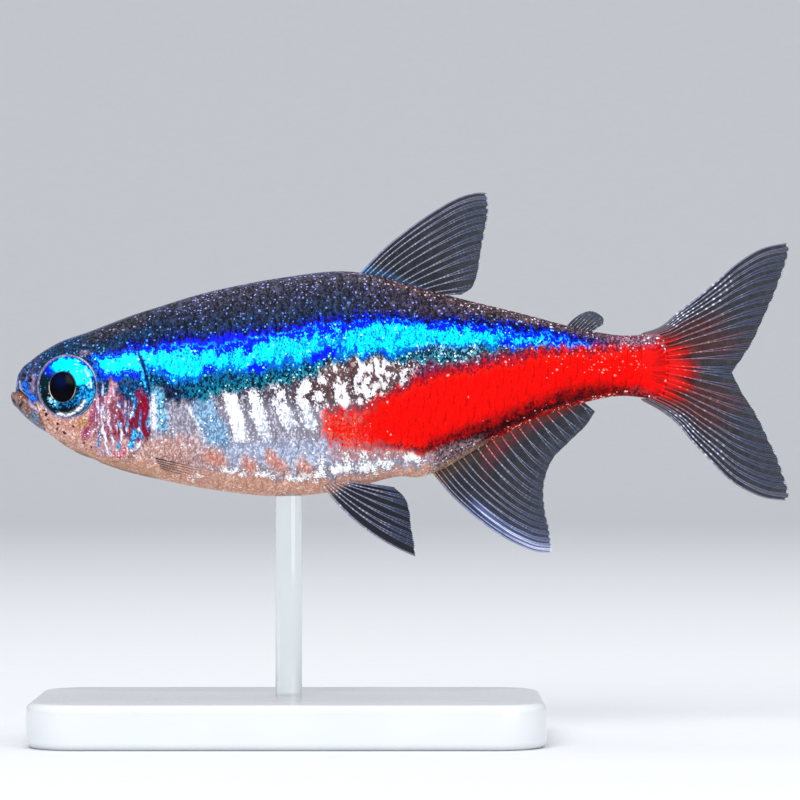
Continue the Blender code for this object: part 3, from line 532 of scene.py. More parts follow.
class Coat:
    """The markings at a set of points: colours of base, specks and sparks, and the share each covers."""

    def __init__(self, points, seed):
        seen = as_seen(points)
        self.points = points
        self.seen_s, self.seen_z = seen[..., 0], seen[..., 1]
        bend = np.stack([value_noise(points, 0.45, seed + k) for k in (0, 1)], -1) - 0.5
        fine = np.stack([value_noise(points, 0.16, seed + k) for k in (2, 3)], -1) - 0.5
        self.streak = value_noise(points * (1 / 0.2, 1, 1 / 1.0), 1.0, seed + 4) - 0.5
        self.s = self.seen_s + 0.1 * bend[..., 0] + 0.1 * fine[..., 0]
        self.z = self.seen_z + 0.2 * bend[..., 1] + 0.12 * fine[..., 1] + 0.42 * self.streak
        self.seed = seed
        size = points.shape[:-1]
        self.base = np.zeros(size + (3,))
        self.speck = np.zeros(size + (3,))
        self.spark = np.zeros(size + (3,))
        self.share = np.zeros(size)
        self.sparks = np.zeros(size)
        self.dots = np.zeros(size)

    def zone(self, mask, base=None, speck=None, share=None, spark=None, sparks=None, dots=None):
        """Mixes the values that are given into the coat by a mask from 0 to 1; colours are hex."""
        given = {"base": base, "speck": speck, "share": share, "spark": spark, "sparks": sparks,
            "dots": dots}
        for label, value in given.items():
            if value is None:
                continue
            kept = getattr(self, label)
            weight = mask[..., None] if kept.ndim > mask.ndim else mask
            goal = np.array(linear(value)) if isinstance(value, str) else value
            setattr(self, label, kept + (goal - kept) * weight)

    def inside(self, low, high, front=None):
        """Signed distance in mm into the band between two lines, and behind a place if one is given."""
        depth = np.full(self.s.shape, 9.0)
        if low is not None:
            depth = np.minimum(depth, self.z - curve(low, self.s))
        if high is not None:
            depth = np.minimum(depth, curve(high, self.s) - self.z)
        if front is not None:
            depth = np.minimum(depth, self.s - front)
        return depth

    def between(self, low, high, soft=0.12):
        """Mask of the heights between two lines; None leaves that side open."""
        return ease(self.inside(low, high) / soft + 0.5)

    def ahead(self, place, soft):
        """Mask of what is nearer the snout than a place."""
        return ease((place - self.s) / soft + 0.5)

    def into(self, strokes, bend=1.0):
        """Signed distance in mm into the nearest of some strokes; bend is how far the noise bends them."""
        s = self.seen_s + (self.s - self.seen_s) * bend
        z = self.seen_z + (self.z - self.seen_z) * bend
        return -np.min([stroke_distance(s, z, stroke) for stroke in strokes], axis=0)

    def strokes(self, strokes, soft=0.06, bend=1.0):
        """Mask of a group of strokes."""
        return ease(self.into(strokes, bend) / soft + 0.5)

    def hairs(self, seed, width, length, cover):
        """Mask of thin upright streaks that cover a share of the surface."""
        noise = value_noise(self.points * (1 / width, 1, 1 / length), 1.0, seed)
        return ramp(noise, 0.85 - 0.55 * cover, 0.12)

    def layers(self):
        """The colour attributes that the material reads."""
        def pack(colour, alpha):
            return np.concatenate([colour, alpha[..., None]], axis=-1).reshape(-1, 4)

        low, high = np.clip(self.share, 0, 0.5), np.clip(self.share, 0.5, 1)
        cover = np.sqrt(low / 2) - np.sqrt((1 - high) / 2) + 0.5
        return {"base": pack(self.base, 0 * self.share + 1), "speck": pack(self.speck, cover),
            "spark": pack(self.spark, self.sparks), "dots": pack(np.stack([self.dots] * 3, -1), self.dots)}


def markings(points, seed=11):
    """The neon tetra's markings at points of the fish frame, in zones laid over one another."""
    coat = Coat(points, seed)
    s, z = coat.s, coat.z
    lay, near = coat.zone, coat.strokes
    top = curve(BACK, coat.seen_s)
    under_top = top - coat.seen_z
    ones = np.ones(s.shape)

    # Back: charcoal brown with a lattice of lilac, grey and blue specks
    over_band = z - curve(ROYAL_TOP, s)
    lay(ones, "#1d2028", "#384362", 0.46, "#7484d0", 0.26, 0.02)
    lay(ramp(over_band, 0.9, 1.0) * 0.8, "#26242a", "#55526a", 0.46, "#a4a4dc", 0.3)
    lay(ramp(1.2, over_band, 0.9) * 0.9, "#101a2a", "#1b3a68", 0.44, "#3a82e8", 0.26)
    lay(ramp(0.5, over_band, 0.4), "#040c28", "#0628b0", 0.46, "#3f98ff", 0.18)
    lay(ramp(0.12, under_top, 0.1) * 0.5, "#2c3048", "#7478a4", 0.5)
    rear = ramp(s, 14.0, 4.0) * ramp(over_band, 0.05, 0.4)
    lay(rear * 0.8, "#2a232b", "#5a4c60", 0.46, "#8f94e6", 0.34)
    crest = ramp(0.6, under_top, 0.35) * ramp(s, 13.5, 5.0)
    lay(crest * 0.8, "#2b2227", "#6f585c", 0.46, "#f4d6d0", 0.34)

    # Belly side: grey lilac flesh, brown between the bars above, peach below
    low = coat.between(None, TEAL_BOTTOM, 0.3)
    lay(low, "#7f7b8a", "#bcb8cc", 0.45, "#f2f2ff", 0.1, 0.0)
    shade = low * ramp(z, -1.5, 0.9)
    lay(shade * 0.9, "#3d333c", "#8a8496", 0.4, dots=0.05)
    lay(shade * ramp(s, 12.0, 2.0) * 0.9, "#4a2f33", "#9a6a62", 0.45)
    seam = ramp(-2.4, z, 0.7) * ramp(z, -4.1, 0.5) * ramp(s, 7.5, 1.5)
    lay(seam, "#8c93ac", "#c6d2ea", 0.46)
    warm = ramp(-2.3, z, 0.6) * ramp(10.0, s, 3.0) * low
    lay(warm, "#a97c77", "#dcbab2", 0.42, sparks=0.14)
    lay(coat.between(None, PEACH_TOP, 0.35), "#c08a76", "#e8bfae", 0.35, "#fff0e8", 0.08, 0.0)
    rust = ease((3.9 + z) / 0.5) * ramp(-2.7, z, 0.4) * ramp(s, 13.5, 1.5) * low
    lay(rust * 0.8, "#a56c66", "#dba49a", 0.45)

    # Silver and pale-blue patches of the flank
    lay(near(PALE_BLUE, 0.4), "#5c7896", "#98c4ea", 0.52, "#e6f6ff", 0.2)
    leopard = value_noise(coat.points * (1 / 0.16, 1, 1 / 0.24), 1.0, 72)
    breaks = ramp(z, -2.3, 1.6) * ramp(s, 10.4, 2.0)
    bars = coat.into(BELLY_BARS) + 0.16 - 0.3 * np.clip(leopard - 0.35, 0, 1) * (0.35 + 1.1 * breaks)
    fade = ramp(z, -2.6, 1.6) * 0.55 + 0.45
    fade = np.maximum(fade, ramp(10.5, s, 0.3))
    lay(ease(bars / 0.25 + 0.9), speck="#f6f7ff", spark="#ffffff", dots=0.0)
    holes = ramp(leopard, 0.46, 0.14) * breaks * 0.85
    lay(ease(bars / 0.3 + 1.0), share=ease(bars / 0.32 + 0.36) * fade * (1 - holes))
    lay(ease(bars / 0.12 - 0.4) * ramp(-0.9, z, 0.5), "#a9b2c6")
    lay(holes * low * ramp(s, 13.0, 1.5), "#5c474a", "#b8968e")
    lay(near(SILVER_LINES, 0.08), "#93a3b8", "#ffffff", 0.75, dots=0.0)
    white = coat.into(BELLY_WHITE)
    lay(ease(white / 0.2 + 0.8), speck="#ffffff", spark="#ffffff", sparks=0.2)
    lay(ease(white / 0.3 + 1.0), share=ease(white / 0.35 + 0.45))
    salmon = coat.into(ORANGE_SPOTS)
    lay(ease(salmon / 0.35 + 0.9) * 0.85, "#b07a70", "#e2b6a4", 0.42)
    lay(ramp(salmon, 0.03, 0.14) * 0.7, "#c4655a", "#e89484", 0.45)

    # Stripe: teal specks below, royal blue over it, and the cyan core with ragged edges
    front = ramp(s, 3.2, 0.2)
    teal = coat.between(TEAL_BOTTOM, CYAN_TOP, 0.3) * front
    lay(teal, "#021c30", "#0a6f9c", 0.5, "#45d2ea", 0.16, 0.05)
    fringe = teal * ramp(curve(TEAL_BOTTOM, s) + 0.6, z, 0.4) * ramp(s, 7.5, 1.5)
    lay(fringe, speck="#1790a8", spark="#d8fbff", sparks=0.34)
    near_core = teal * ramp(z - curve(CYAN_BOTTOM, s), -0.4, 0.35)
    lay(near_core * 0.85, "#021a50", "#0a62d8", 0.55, "#30d8f4", 0.2)
    into_royal = coat.inside(CYAN_BOTTOM, ROYAL_TOP, 3.9)
    end = ramp(26.2, s, 1.6)
    royal = ease(into_royal / 0.2 + 1.0) * (z > curve(CYAN_BOTTOM, s)) * end
    lay(royal, "#020830", "#0014ff", spark="#3fc0ff", sparks=0.07, dots=0.0)
    lay(royal, share=ease(into_royal / 0.3 + 0.4))
    into_core = coat.inside(CYAN_BOTTOM, CYAN_TOP, 4.2)
    into_core = np.minimum(into_core, (25.4 - s) * 0.2)
    mottle = value_noise(coat.points * (1 / 0.26, 1, 1 / 0.5), 1.0, 71)
    small = value_noise(coat.points * (1 / 0.11, 1, 1 / 0.2), 1.0, 73)
    gaps = 0.55 * np.clip(mottle - 0.42, 0, 1) + 0.3 * np.clip(small - 0.45, 0, 1)
    gaps *= 0.45 + 0.75 * ramp(s, 8.5, 3.0) - 0.7 * ramp(s, 14.0, 2.5)
    rearward = ramp(s, 14.0, 2.5)
    blue_part = 0.1 + ramp(s, 9.5, 4.0) * (0.12 + 0.45 * ramp(mottle, 0.42, 0.25)) * (1 - 0.6 * rearward)
    density = ease((into_core - gaps) / (0.42 - 0.18 * rearward) + 0.34 + 0.12 * rearward) * (1 - blue_part)
    core = ease(into_core / 0.05 + 3.0)
    upper = ramp(z - curve(CYAN_BOTTOM, s), 0.3, 0.2)
    lay(core, "#0462c8", "#00e8ff", spark="#9dffff", sparks=0.06, dots=0.0)
    lay(core * np.maximum(upper, ramp(mottle, 0.68, 0.06)), "#0018ff")
    lay(core, share=density)
    lay(core * ramp(s, 21.8, 1.5), "#0018ff")
    lay(ramp(into_core - 0.1, gaps, 0.25) * ramp(22.0, s, 2.0), "#0070ff")
    lay(near(GLITTER, 0.3), "#0b3450", "#7fc4dc", 0.28, "#f4ffff", 0.34)

    # Red band: orange red and speckled in front, plain red behind, dark lines above and below
    maroon = coat.between(RED_TOP, MAROON_TOP, 0.5) * ramp(s, 17.2, 1.2)
    lay(maroon, "#451834", "#842a50", 0.48, "#a58fd0", 0.22, 0.0)
    under = coat.between(None, RED_BOTTOM, 0.25) * ramp(s, 18.4, 0.8)
    lay(under, "#4c3a42", "#9b8087", 0.45, "#f4e2dc", 0.2, 0.05)
    calm = z + 0.65 * ramp(s, 16.5, 2.0) * (coat.seen_z - z)
    below_red = calm - curve(RED_BOTTOM, s)
    lay(under * ramp(s, 20.6, 0.8), "#2c0408", "#6a0a14", spark="#ff9a90", sparks=0.08)
    dark = under * ramp(below_red, -0.5, 0.2) * ramp(s, 18.9, 1.5)
    lay(dark, "#160305", "#4a0a10", 0.35, sparks=0.03)
    above_belly = coat.seen_z - curve(BELLY, coat.seen_s)
    lay(under * ramp(0.3, above_belly, 0.15) * ramp(21.6, s, 0.8), "#7a5c4c", "#b8937a", 0.5)
    lay(under * ramp(0.3, above_belly, 0.15) * ramp(s, 21.0, 0.8), "#7c0c0e", "#c42a26", spark="#ffe0da",
        sparks=0.32)
    into_red = np.minimum(coat.inside(None, RED_TOP, 13.7), below_red)
    fleck = ramp(17.2, s, 2.4)
    reach = into_red - fleck * (0.22 + 0.6 * coat.streak) - 0.25 * np.clip(leopard - 0.5, 0, 1)
    starts = ramp(s, 13.5, 0.6)
    red = ease(into_red / 0.1 + 2.6) * starts
    filled = ease(into_red / 0.25 + 0.9) * starts
    above = ramp(z - curve(RED_TOP, s), -0.25, 0.25)
    lay(filled * (1 - fleck), "#6a1626")
    lay(filled * fleck * ease(into_red / 0.4 + 0.4) * 0.85, "#d4604a")
    lay(red, speck="#ff1a06", spark="#ff9a88", sparks=0.005, dots=0.0)
    lay(red * fleck, spark="#ffc8bc", sparks=0.07)
    thick = ease(reach / 0.6 + 0.42) * (1 - 0.3 * fleck)
    lay(filled, share=np.maximum(thick, 0.42 * fleck))
    lay(ramp(reach, 0.18, 0.2) * red * (1 - 0.6 * fleck), "#d00408", "#ff0602")
    rim = ramp(0.7, below_red, 0.75) * ramp(s, 17.5, 1.5) * red
    lay(rim * 0.95, "#4c0206", "#8c0408")
    lay(red * above * 0.6, "#7a1430", "#d81220", spark="#f0b0c0", sparks=0.18)
    lay(red * ramp(small, 0.6, 0.12) * 0.45, "#b00408", "#d80a08")
    lay(red * ramp(mottle, 0.55, 0.15) * 0.35, "#c00408", "#e60806")
    stalk = red * ramp(s, 23.4, 1.5) * ramp(z, 0.1, 0.6) * ramp(30.0, s, 1.0)
    lay(stalk * 0.8, spark="#ff7464", sparks=0.42)
    tail_top = ramp(s, 26.0, 1.5) * ramp(z, 1.35, 0.45)
    lay(tail_top, "#5c2a3a", "#a0788e", 0.45, "#ffe2dc", 0.34)
    tail_low = ramp(s, 26.8, 1.0) * ramp(-0.35, z, 0.35)
    lay(tail_low, "#5a0c10", "#a8343a", 0.45, "#ffd9d4", 0.18)
    fin_base = ramp(s, 28.0, 0.8)
    lay(fin_base * ramp(1.75, z, 0.5) * ramp(z, -0.75, 0.4), "#e00406", "#ff0a06", sparks=0.02)
    lay(fin_base * np.maximum(ramp(z, 1.7, 0.3), ramp(-0.75, z, 0.3)) * 0.8, "#7a5a66", "#a8929c")

    spread = np.arctan2(coat.seen_z - 0.45, coat.seen_s - 27.4)
    lines = value_noise(np.stack([spread * 26, 0 * spread, 0 * spread], -1), 1.0, 75)
    lay(ramp(s, 28.4, 0.7) * ramp(lines, 0.46, 0.1) * 0.85, "#8c0408", "#b00a0a")

    head_markings(coat, under_top)
    return coat


def head_markings(coat, under_top):
    """The zones of the head: crown, snout, cheek, jaw, gill cover and the patch behind it."""
    s, z, seen_s, seen_z = coat.s, coat.z, coat.seen_s, coat.seen_z
    lay, near = coat.zone, coat.strokes
    behind = seen_s - slit_place(np.clip(seen_z, -3.7, 2.4))
    in_head = ease(0.5 - behind / 0.05)
    crown = coat.ahead(6.3, 1.4) * ramp(z - 0.42 * s, -0.55, 0.25)
    lay(crown, "#111d2d", "#1f4470", 0.42, "#4aa8ee", 0.2, 0.02)
    nape = crown * ramp(s, 2.4, 1.5) * ramp(0.9, under_top, 0.5)
    lay(nape, "#191b22", "#45434f", 0.4, "#8f8cc0", 0.24)
    lay(ramp(0.1, under_top, 0.08) * coat.ahead(6.0, 2.5) * 0.6, "#343a58", "#747aa8", 0.5)

    cheek = ramp(-0.95, z, 0.3) * coat.ahead(4.4, 0.6)
    lay(cheek, "#b47e70", "#e6bcae", 0.42, "#f2ddd8", 0.12, 0.0)
    throat = coat.between(None, THROAT_EDGE, 0.3) * coat.ahead(6.4, 1.0)
    lay(throat, "#b1836d", "#d8ac93", 0.3, sparks=0.03, dots=0.0)
    lay(throat * ramp(0.14, seen_z - curve(BELLY, seen_s), 0.12) * 0.7, "#6f5548", "#8f7262")
    snout = coat.ahead(1.15, 0.4) * ease((z + 0.9 + 0.35 * s) / 0.3)
    lay(snout, "#262e4a", "#4b5480", 0.42, "#3f9cf0", 0.22, 0.02)
    edge = ramp(0.1, seen_s - 0.02, 0.1) * ramp(seen_z, -0.5, 0.2)
    lay(edge, "#7f80a8", "#bab8dc", 0.4)
    lay(near(NOSTRIL_BRIDGE, 0.1), "#6f5d7c", "#a894b4", 0.4, sparks=0.05)
    jaw = coat.between(None, JAW_TOP, 0.08) * coat.ahead(1.3, 0.15)
    lay(jaw, "#6f5650", "#a0857e", 0.38, "#dcd2e8", 0.06, 0.02)
    lay(near(JAW_RED, 0.08), "#8c4a3e", "#c58670", 0.4)
    lay(near(JAW_BLUE, 0.12), "#43526c", "#7890b0", 0.38)
    lay(near(JAW_DARK, 0.08), "#2a1f22", "#5a4a50", 0.2)
    jaw_rim = jaw * ramp(0.16, seen_z - curve(BELLY, seen_s), 0.12)
    lay(jaw_rim * 0.9, "#5a6486", "#8d97bc", 0.4)

    # Gill cover: rose in front, crimson behind, with silver and blue streaks
    cover = ramp(s, 3.3, 0.3) * ramp(0.0, z, 0.4) * ramp(z, -3.5, 0.3) * in_head
    lay(cover, "#7a3f52", "#b87a8a", 0.42, "#ffe6ee", 0.12, 0.03)
    lay(cover * ramp(s, 4.5, 0.5) * ramp(z, -2.9, 0.3), "#5e1830", "#8f2a44", 0.35, sparks=0.04)
    lay(cover * ramp(-2.5, z, 0.4), "#b07b80", "#dcb3ae", 0.4)
    under_band = ramp(s, 3.5, 0.3) * ease((z + 0.75 + 0.5 * np.abs(s - 4.5)) / 0.4) * in_head
    under_band = under_band * ramp(0.7, z, 0.2)
    lay(under_band, "#041a30", "#0d62a6", 0.48, "#3fc6f2", 0.14, 0.05)
    lay(near(MAGENTA_BAND, 0.25), "#853452", "#b4668a", 0.4, "#ffd8e8", 0.1)
    lay(near(GOLD_PATCH, 0.3) * 0.8, "#8f5c33", "#cf9a55", 0.45, dots=0.05)
    lay(near(PALE_BAND, 0.14), "#9a6473", "#d8a3ac", 0.45, sparks=0.1, dots=0.0)
    lay(near(OPERCLE_BLUE, 0.25), "#0a1c40", "#12508c", 0.42)
    lay(near(CRIMSON, 0.3), "#740a28", "#981036", 0.4, "#ffb35c", 0.05)
    lay(near(RED_SPOT, 0.12), "#b03a46", "#e08080", 0.35)
    pale_hairs = coat.hairs(31, 0.07, 0.55, 0.4) * cover * ramp(5.3, s, 0.5)
    lay(pale_hairs * 0.75, "#a08aa0", "#f2ecf8", 0.6)
    blue_hairs = coat.hairs(37, 0.08, 0.5, 0.3) * cover * ramp(s, 4.2, 0.4) * ramp(-0.4, z, 0.3)
    lay(blue_hairs * 0.8, "#155a9a", "#4fc2f4", 0.55)
    broken = value_noise(coat.points * (1 / 0.1, 1, 1 / 0.22), 1.0, 41)
    blue = coat.into(BLUE_STROKES) - 0.1 * (broken - 0.3)
    lay(ease(blue / 0.07 + 0.6), "#0f4f90", "#3fb8f4", spark="#ffffff", sparks=0.28, dots=0.0)
    lay(ease(blue / 0.07 + 0.8), share=ease(blue / 0.12 + 0.45) * 0.85)
    white = coat.into(WHITE_STROKES) - 0.1 * (broken - 0.3)
    lay(ease(white / 0.08 + 0.7) * 0.8, "#5f7fb4", "#dfe8ff", spark="#ffffff", sparks=0.3, dots=0.0)
    lay(ease(white / 0.07 + 0.8), share=ease(white / 0.13 + 0.5) * 0.88)
    lay(ease(white / 0.05), "#c4d0ea", "#ffffff")

    front = 3.58 + 0.5 * np.clip(1.0 - z, 0, 0.7)
    lay(under_band * ramp(z, -0.1, 0.25) * ramp(4.9, s, 0.4), "#04208c", "#0a58f0", 0.62)
    into_edge = coat.inside(((3.2, 0.05), (6.2, 0.1)), ((3.2, 1.1), (4.2, 1.3), (6.2, 1.66)), front - 0.14)
    lay(ease(into_edge / 0.2 + 0.6) * in_head, "#030f38", "#0a30ff", 0.75, "#2fb8ff", 0.12, 0.0)
    into_core = coat.inside(CYAN_BOTTOM, GILL_CYAN_TOP, front)
    band = ease(into_core / 0.05 + 2.5) * in_head
    lay(band, "#0a2cff", "#00f0ff", spark="#c8ffff", sparks=0.08, dots=0.0)
    lay(band, share=ease(into_core / 0.3 + 0.42))
    lay(ramp(into_core, 0.12, 0.1) * in_head, "#00c8ff")
    lay(near(SLIT_GLOW, 0.06), "#0a78d8", "#2fe6ff", 0.7, dots=0.0)
    lay(near((MAXILLA,), 0.06), "#0a3aa0", "#1f78f0", 0.6, "#7fd0ff", 0.1, 0.0)
    lay(near(LIP_EDGE, 0.06, 0.3), "#a39cc0", "#cfc9e4", 0.4, sparks=0.0)
    # Painted shade: a dark line in the mouth's groove
    lay(near(MOUTH_GAP, 0.05, 0.2), "#1c1218", share=0.05, sparks=0.0)
    for dot_s, dot_z, radius in CHEEK_DOTS:
        lay(near(((dot_s, dot_z, dot_s, dot_z, radius),), 0.06, 0.3), "#2a1a18", share=0.0, sparks=0.0)
    # Painted shade: the nostril pits filled with near black
    for hole_s, hole_z, radius in NOSTRILS:
        lay(near(((hole_s, hole_z, hole_s, hole_z, radius),), 0.05, 0), "#0d0e16", share=0.0, sparks=0.0)
    lay(near(EYE_CORNER, 0.14), "#54465e", "#8f7a94", 0.42, sparks=0.1, dots=0.0)
    rim = eye_share(seen_s, seen_z)
    lay(ramp(1.06, rim, 0.03) * 0.8, "#3a3450", "#6f688c", 0.3, sparks=0.04, dots=0.0)
    lay(np.exp(-((rim - 1.018) / 0.016) ** 2), "#8d86a8", "#b6aed0", 0.4)
    shine = np.exp(-((rim - 1.02) / 0.022) ** 2) * ramp(seen_z, -0.1, 0.6) * ramp(seen_s, 2.5, 0.6)
    lay(shine * 0.8, "#dcdcf0", "#ffffff", 0.4, sparks=0.1)

    # Behind the slit: a silver patch, its blue neighbour, a dark one above, and painted shadow along the
    # slit
    lay(near(SHOULDER_DARK, 0.35), "#140f26", "#203a72", 0.3, sparks=0.06)
    lay(near(SHOULDER_BLUE, 0.35), "#4a6a8c", "#7fd0f0", 0.6, "#ffffff", 0.2)
    lay(near(SHOULDER_WHITE, 0.14), "#b8c6e0", "#ffffff", 0.75, sparks=0.3, dots=0.0)
    # Painted shadow: a dark blue band behind the upper slit, under the gill cover's edge
    lay(near(SLIT_SHADE, 0.08, 0.4), "#0a1450", "#1a3f98", 0.35, sparks=0.05)
    # Painted shadow: a dark line along the slit, in the step behind the gill cover
    gap = path_distance(seen_s, seen_z, GILL_SLIT[1:])
    lay(np.exp(-(gap / 0.055) ** 2) * ramp(behind, -0.03, 0.03) * 0.85, "#1a0f1c", share=0.1, sparks=0.0)


def length_setting(name, default, description):
    """A setting in metres from its default in millimetres."""
    return bpy.props.FloatProperty(name=name, description=description, default=default * MM, unit="LENGTH",
        precision=6)


def colour_setting(name, default, description):
    """A colour setting from its default in hex."""
    return bpy.props.FloatVectorProperty(name=name, description=description, size=3, subtype="COLOR",
        default=linear(default), min=0, max=1)


class TetraSettings(bpy.types.PropertyGroup):
    """Sizes and colours that a user would change."""

    skin_depth: length_setting("Skin depth", 0.05,
        "How far the skin lies inside the solids, under the scales")
    scale_pitch: length_setting("Scale pitch", 0.66, "Distance between scales along a row")
    row_spacing: length_setting("Row spacing", 0.62, "Distance between rows of scales")
    scale_lift: length_setting("Scale lift", 0.05, "Height of a scale's free edge over the skin")
    ray_radius: length_setting("Ray radius", 0.038, "Radius of a fin ray at its root")
    joint_spacing: length_setting("Joint spacing", 0.3, "Distance between the joints of a fin ray")
    membrane_thickness: length_setting("Membrane thickness", 0.022, "Thickness of the clear fin membrane")
    membrane_colour: colour_setting("Membrane", "#10141f", "Tint of the clear fin membrane")
    membrane_alpha: bpy.props.FloatProperty(name="Membrane alpha",
        description="How much of the light the membrane holds back", default=0.78, min=0, max=1,
        subtype="FACTOR")
    ray_colour: colour_setting("Ray", "#74768e", "Colour of the fin rays")
    # Painted highlight on the real ray joints: the colour their bright dots are whitened to
    joint_highlight_colour: colour_setting("Ray joint", "#eef1ff", "Colour of the bright dots at the ray joints")
    pupil_colour: colour_setting("Pupil", "#020308", "Colour of the pupil's lens")
    base_colour: colour_setting("Stand base", "#d9dce0", "Tint of the opal acrylic base")
    backdrop_colour: colour_setting("Backdrop", "#dfe1e4", "Colour of the floor and backdrop")


def speckled_skin(name, depth):
    """Wet fish skin as painted gel under clear varnish: matt pigment, bright specks and soft glints.

    Specks are about 0.09 mm across, sparks 0.10 mm and dark pigment dots 0.09 mm, as on the real fish.
    """
    material, tree, place = new_material(name)
    coat = {label: add_node(tree, "Attribute", attribute_name=label)
        for label in ("base", "speck", "spark", "dots")}
    wobble = add_node(tree, "TexNoise", {"Vector": place, "Scale": 1 / (0.16 * MM), "Detail": 2.0})
    bent = add_node(tree, "VectorMath", {0: wobble.outputs["Color"], 1: (0.5, 0.5, 0.5)},
        operation="SUBTRACT")
    bent = add_node(tree, "VectorMath", {0: bent, "Scale": 0.13 * MM}, operation="SCALE")
    bent = add_node(tree, "VectorMath", {0: place, 1: bent}, operation="ADD")
    tall = add_node(tree, "VectorMath", {0: bent, 1: (1.2, 1.0, 0.78)}, operation="MULTIPLY")
    cells = add_node(tree, "TexVoronoi", {"Vector": tall, "Scale": 1 / (0.085 * MM)})
    draw = add_node(tree, "SeparateColor", {"Color": cells.outputs["Color"]})
    fine = add_node(tree, "TexNoise", {"Vector": tall, "Scale": 1 / (0.08 * MM), "Detail": 3.0})
    fine = add_node(tree, "MapRange", {"Value": fine.outputs["Fac"], "From Min": 0.32, "From Max": 0.68})
    blend = add_node(tree, "Mix", {0: 0.45, 2: draw.outputs["Red"], 3: fine}, data_type="FLOAT")
    gap = add_node(tree, "Math", {0: coat["speck"].outputs["Alpha"], 1: blend}, operation="SUBTRACT")
    mask = add_node(tree, "MapRange", {"Value": gap, "From Min": -0.06, "From Max": 0.06})
    tone = add_node(tree, "MapRange", {"Value": draw.outputs["Green"], "To Min": 0.72, "To Max": 1.05})
    speck = add_node(tree, "VectorMath", {0: coat["speck"].outputs["Color"], "Scale": tone},
        operation="SCALE")
    colour = add_node(tree, "Mix", {0: mask, 6: coat["base"].outputs["Color"], 7: speck}, data_type="RGBA")
    colour = spots(tree, place, colour.outputs[2], coat["dots"].outputs["Fac"], 0.11,
        (0.008, 0.006, 0.01, 1), 0.42)
    colour = spots(tree, bent, colour, coat["spark"].outputs["Alpha"], 0.12, coat["spark"].outputs["Color"],
        0.42)
    rough = add_node(tree, "MapRange", {"Value": mask, "To Min": 0.46, "To Max": 0.36})
    bump = add_node(tree, "Bump", {"Height": blend, "Strength": 0.25, "Distance": depth * MM})
    shader = add_node(tree, "BsdfPrincipled", {"Base Color": colour, "Roughness": rough, "Normal": bump,
        "IOR": 1.38, "Specular IOR Level": 0.07, "Coat Weight": 0.02, "Coat Roughness": 0.18,
        "Coat IOR": 1.34})
    add_node(tree, "OutputMaterial", {"Surface": shader})
    return material


def spots(tree, place, under, share, size, colour, reach):
    """Round spots over a colour: cells of a size in mm, of which a share carries a spot."""
    cells = add_node(tree, "TexVoronoi", {"Vector": place, "Scale": 1 / (size * MM)})
    draw = add_node(tree, "SeparateColor", {"Color": cells.outputs["Color"]})
    chosen = add_node(tree, "Math", {0: draw.outputs["Blue"], 1: share}, operation="LESS_THAN")
    size_draw = add_node(tree, "MapRange", {"Value": draw.outputs["Red"], "To Min": 0.5 * reach,
        "To Max": 1.2 * reach})
    inside = add_node(tree, "Math", {0: size_draw, 1: cells.outputs["Distance"]}, operation="SUBTRACT")
    edge = add_node(tree, "MapRange", {"Value": inside, "From Min": -0.04, "From Max": 0.1})
    mask = add_node(tree, "Math", {0: edge, 1: chosen}, operation="MULTIPLY")
    mixed = add_node(tree, "Mix", {0: mask, 6: under, 7: colour}, data_type="RGBA")
    return mixed.outputs[2]


def finish_from_paint(name, rough, coat_weight, specular):
    """Cast resin or glass under varnish: an even gloss over the piece's own paint, with a faint mottle."""
    material, tree, place = new_material(name)
    paint = add_node(tree, "Attribute", attribute_name="paint")
    grain = add_node(tree, "TexNoise", {"Vector": place, "Scale": 1 / (0.09 * MM), "Detail": 2.0})
    tone = add_node(tree, "MapRange", {"Value": grain.outputs["Fac"], "From Min": 0.3, "From Max": 0.7,
        "To Min": 0.8, "To Max": 1.15})
    colour = add_node(tree, "VectorMath", {0: paint.outputs["Color"], "Scale": tone}, operation="SCALE")
    shader = add_node(tree, "BsdfPrincipled", {"Base Color": colour, "Roughness": rough,
        "Coat Weight": coat_weight, "Coat Roughness": 0.06, "Specular IOR Level": specular})
    add_node(tree, "OutputMaterial", {"Surface": shader})
    return material


def clear_membrane():
    """Fin membrane: cast clear resin film tinted smoke grey, glossy and thin enough to see through."""
    material, tree, place = new_material("cast clear resin film")
    paint = add_node(tree, "Attribute", attribute_name="paint")
    streaks = add_node(tree, "TexNoise", {"Vector": place, "Scale": 1 / (0.25 * MM), "Detail": 3.0})
    thick = add_node(tree, "MapRange", {"Value": streaks.outputs["Fac"], "From Min": 0.3, "From Max": 0.7,
        "To Min": -0.06, "To Max": 0.06})
    alpha = add_node(tree, "Math", {0: paint.outputs["Alpha"], 1: thick}, operation="ADD")
    shader = add_node(tree, "BsdfPrincipled", {"Base Color": paint.outputs["Color"], "Alpha": alpha,
        "Roughness": 0.25, "Specular IOR Level": 0.18})
    add_node(tree, "OutputMaterial", {"Surface": shader})
    return material


def acrylic(name, colour, clear):
    """Acrylic sheet or rod, saw cut and flame polished: clear rod, or opal base with faint cloudiness."""
    material, tree, place = new_material(name)
    cloud = add_node(tree, "TexNoise", {"Vector": place, "Scale": 1 / (4.0 * MM), "Detail": 2.0})
    rough = add_node(tree, "MapRange", {"Value": cloud.outputs["Fac"], "To Min": 0.06, "To Max": 0.16})
    tone = add_node(tree, "MapRange", {"Value": cloud.outputs["Fac"], "To Min": 0.94, "To Max": 1.04})
    tint = add_node(tree, "VectorMath", {0: tuple(colour)[:3], "Scale": tone}, operation="SCALE")
    shader = add_node(tree, "BsdfPrincipled", {"Base Color": tint, "Roughness": rough, "IOR": 1.49,
        "Transmission Weight": clear, "Coat Weight": 0.3, "Coat Roughness": 0.05})
    add_node(tree, "OutputMaterial", {"Surface": shader})
    return material


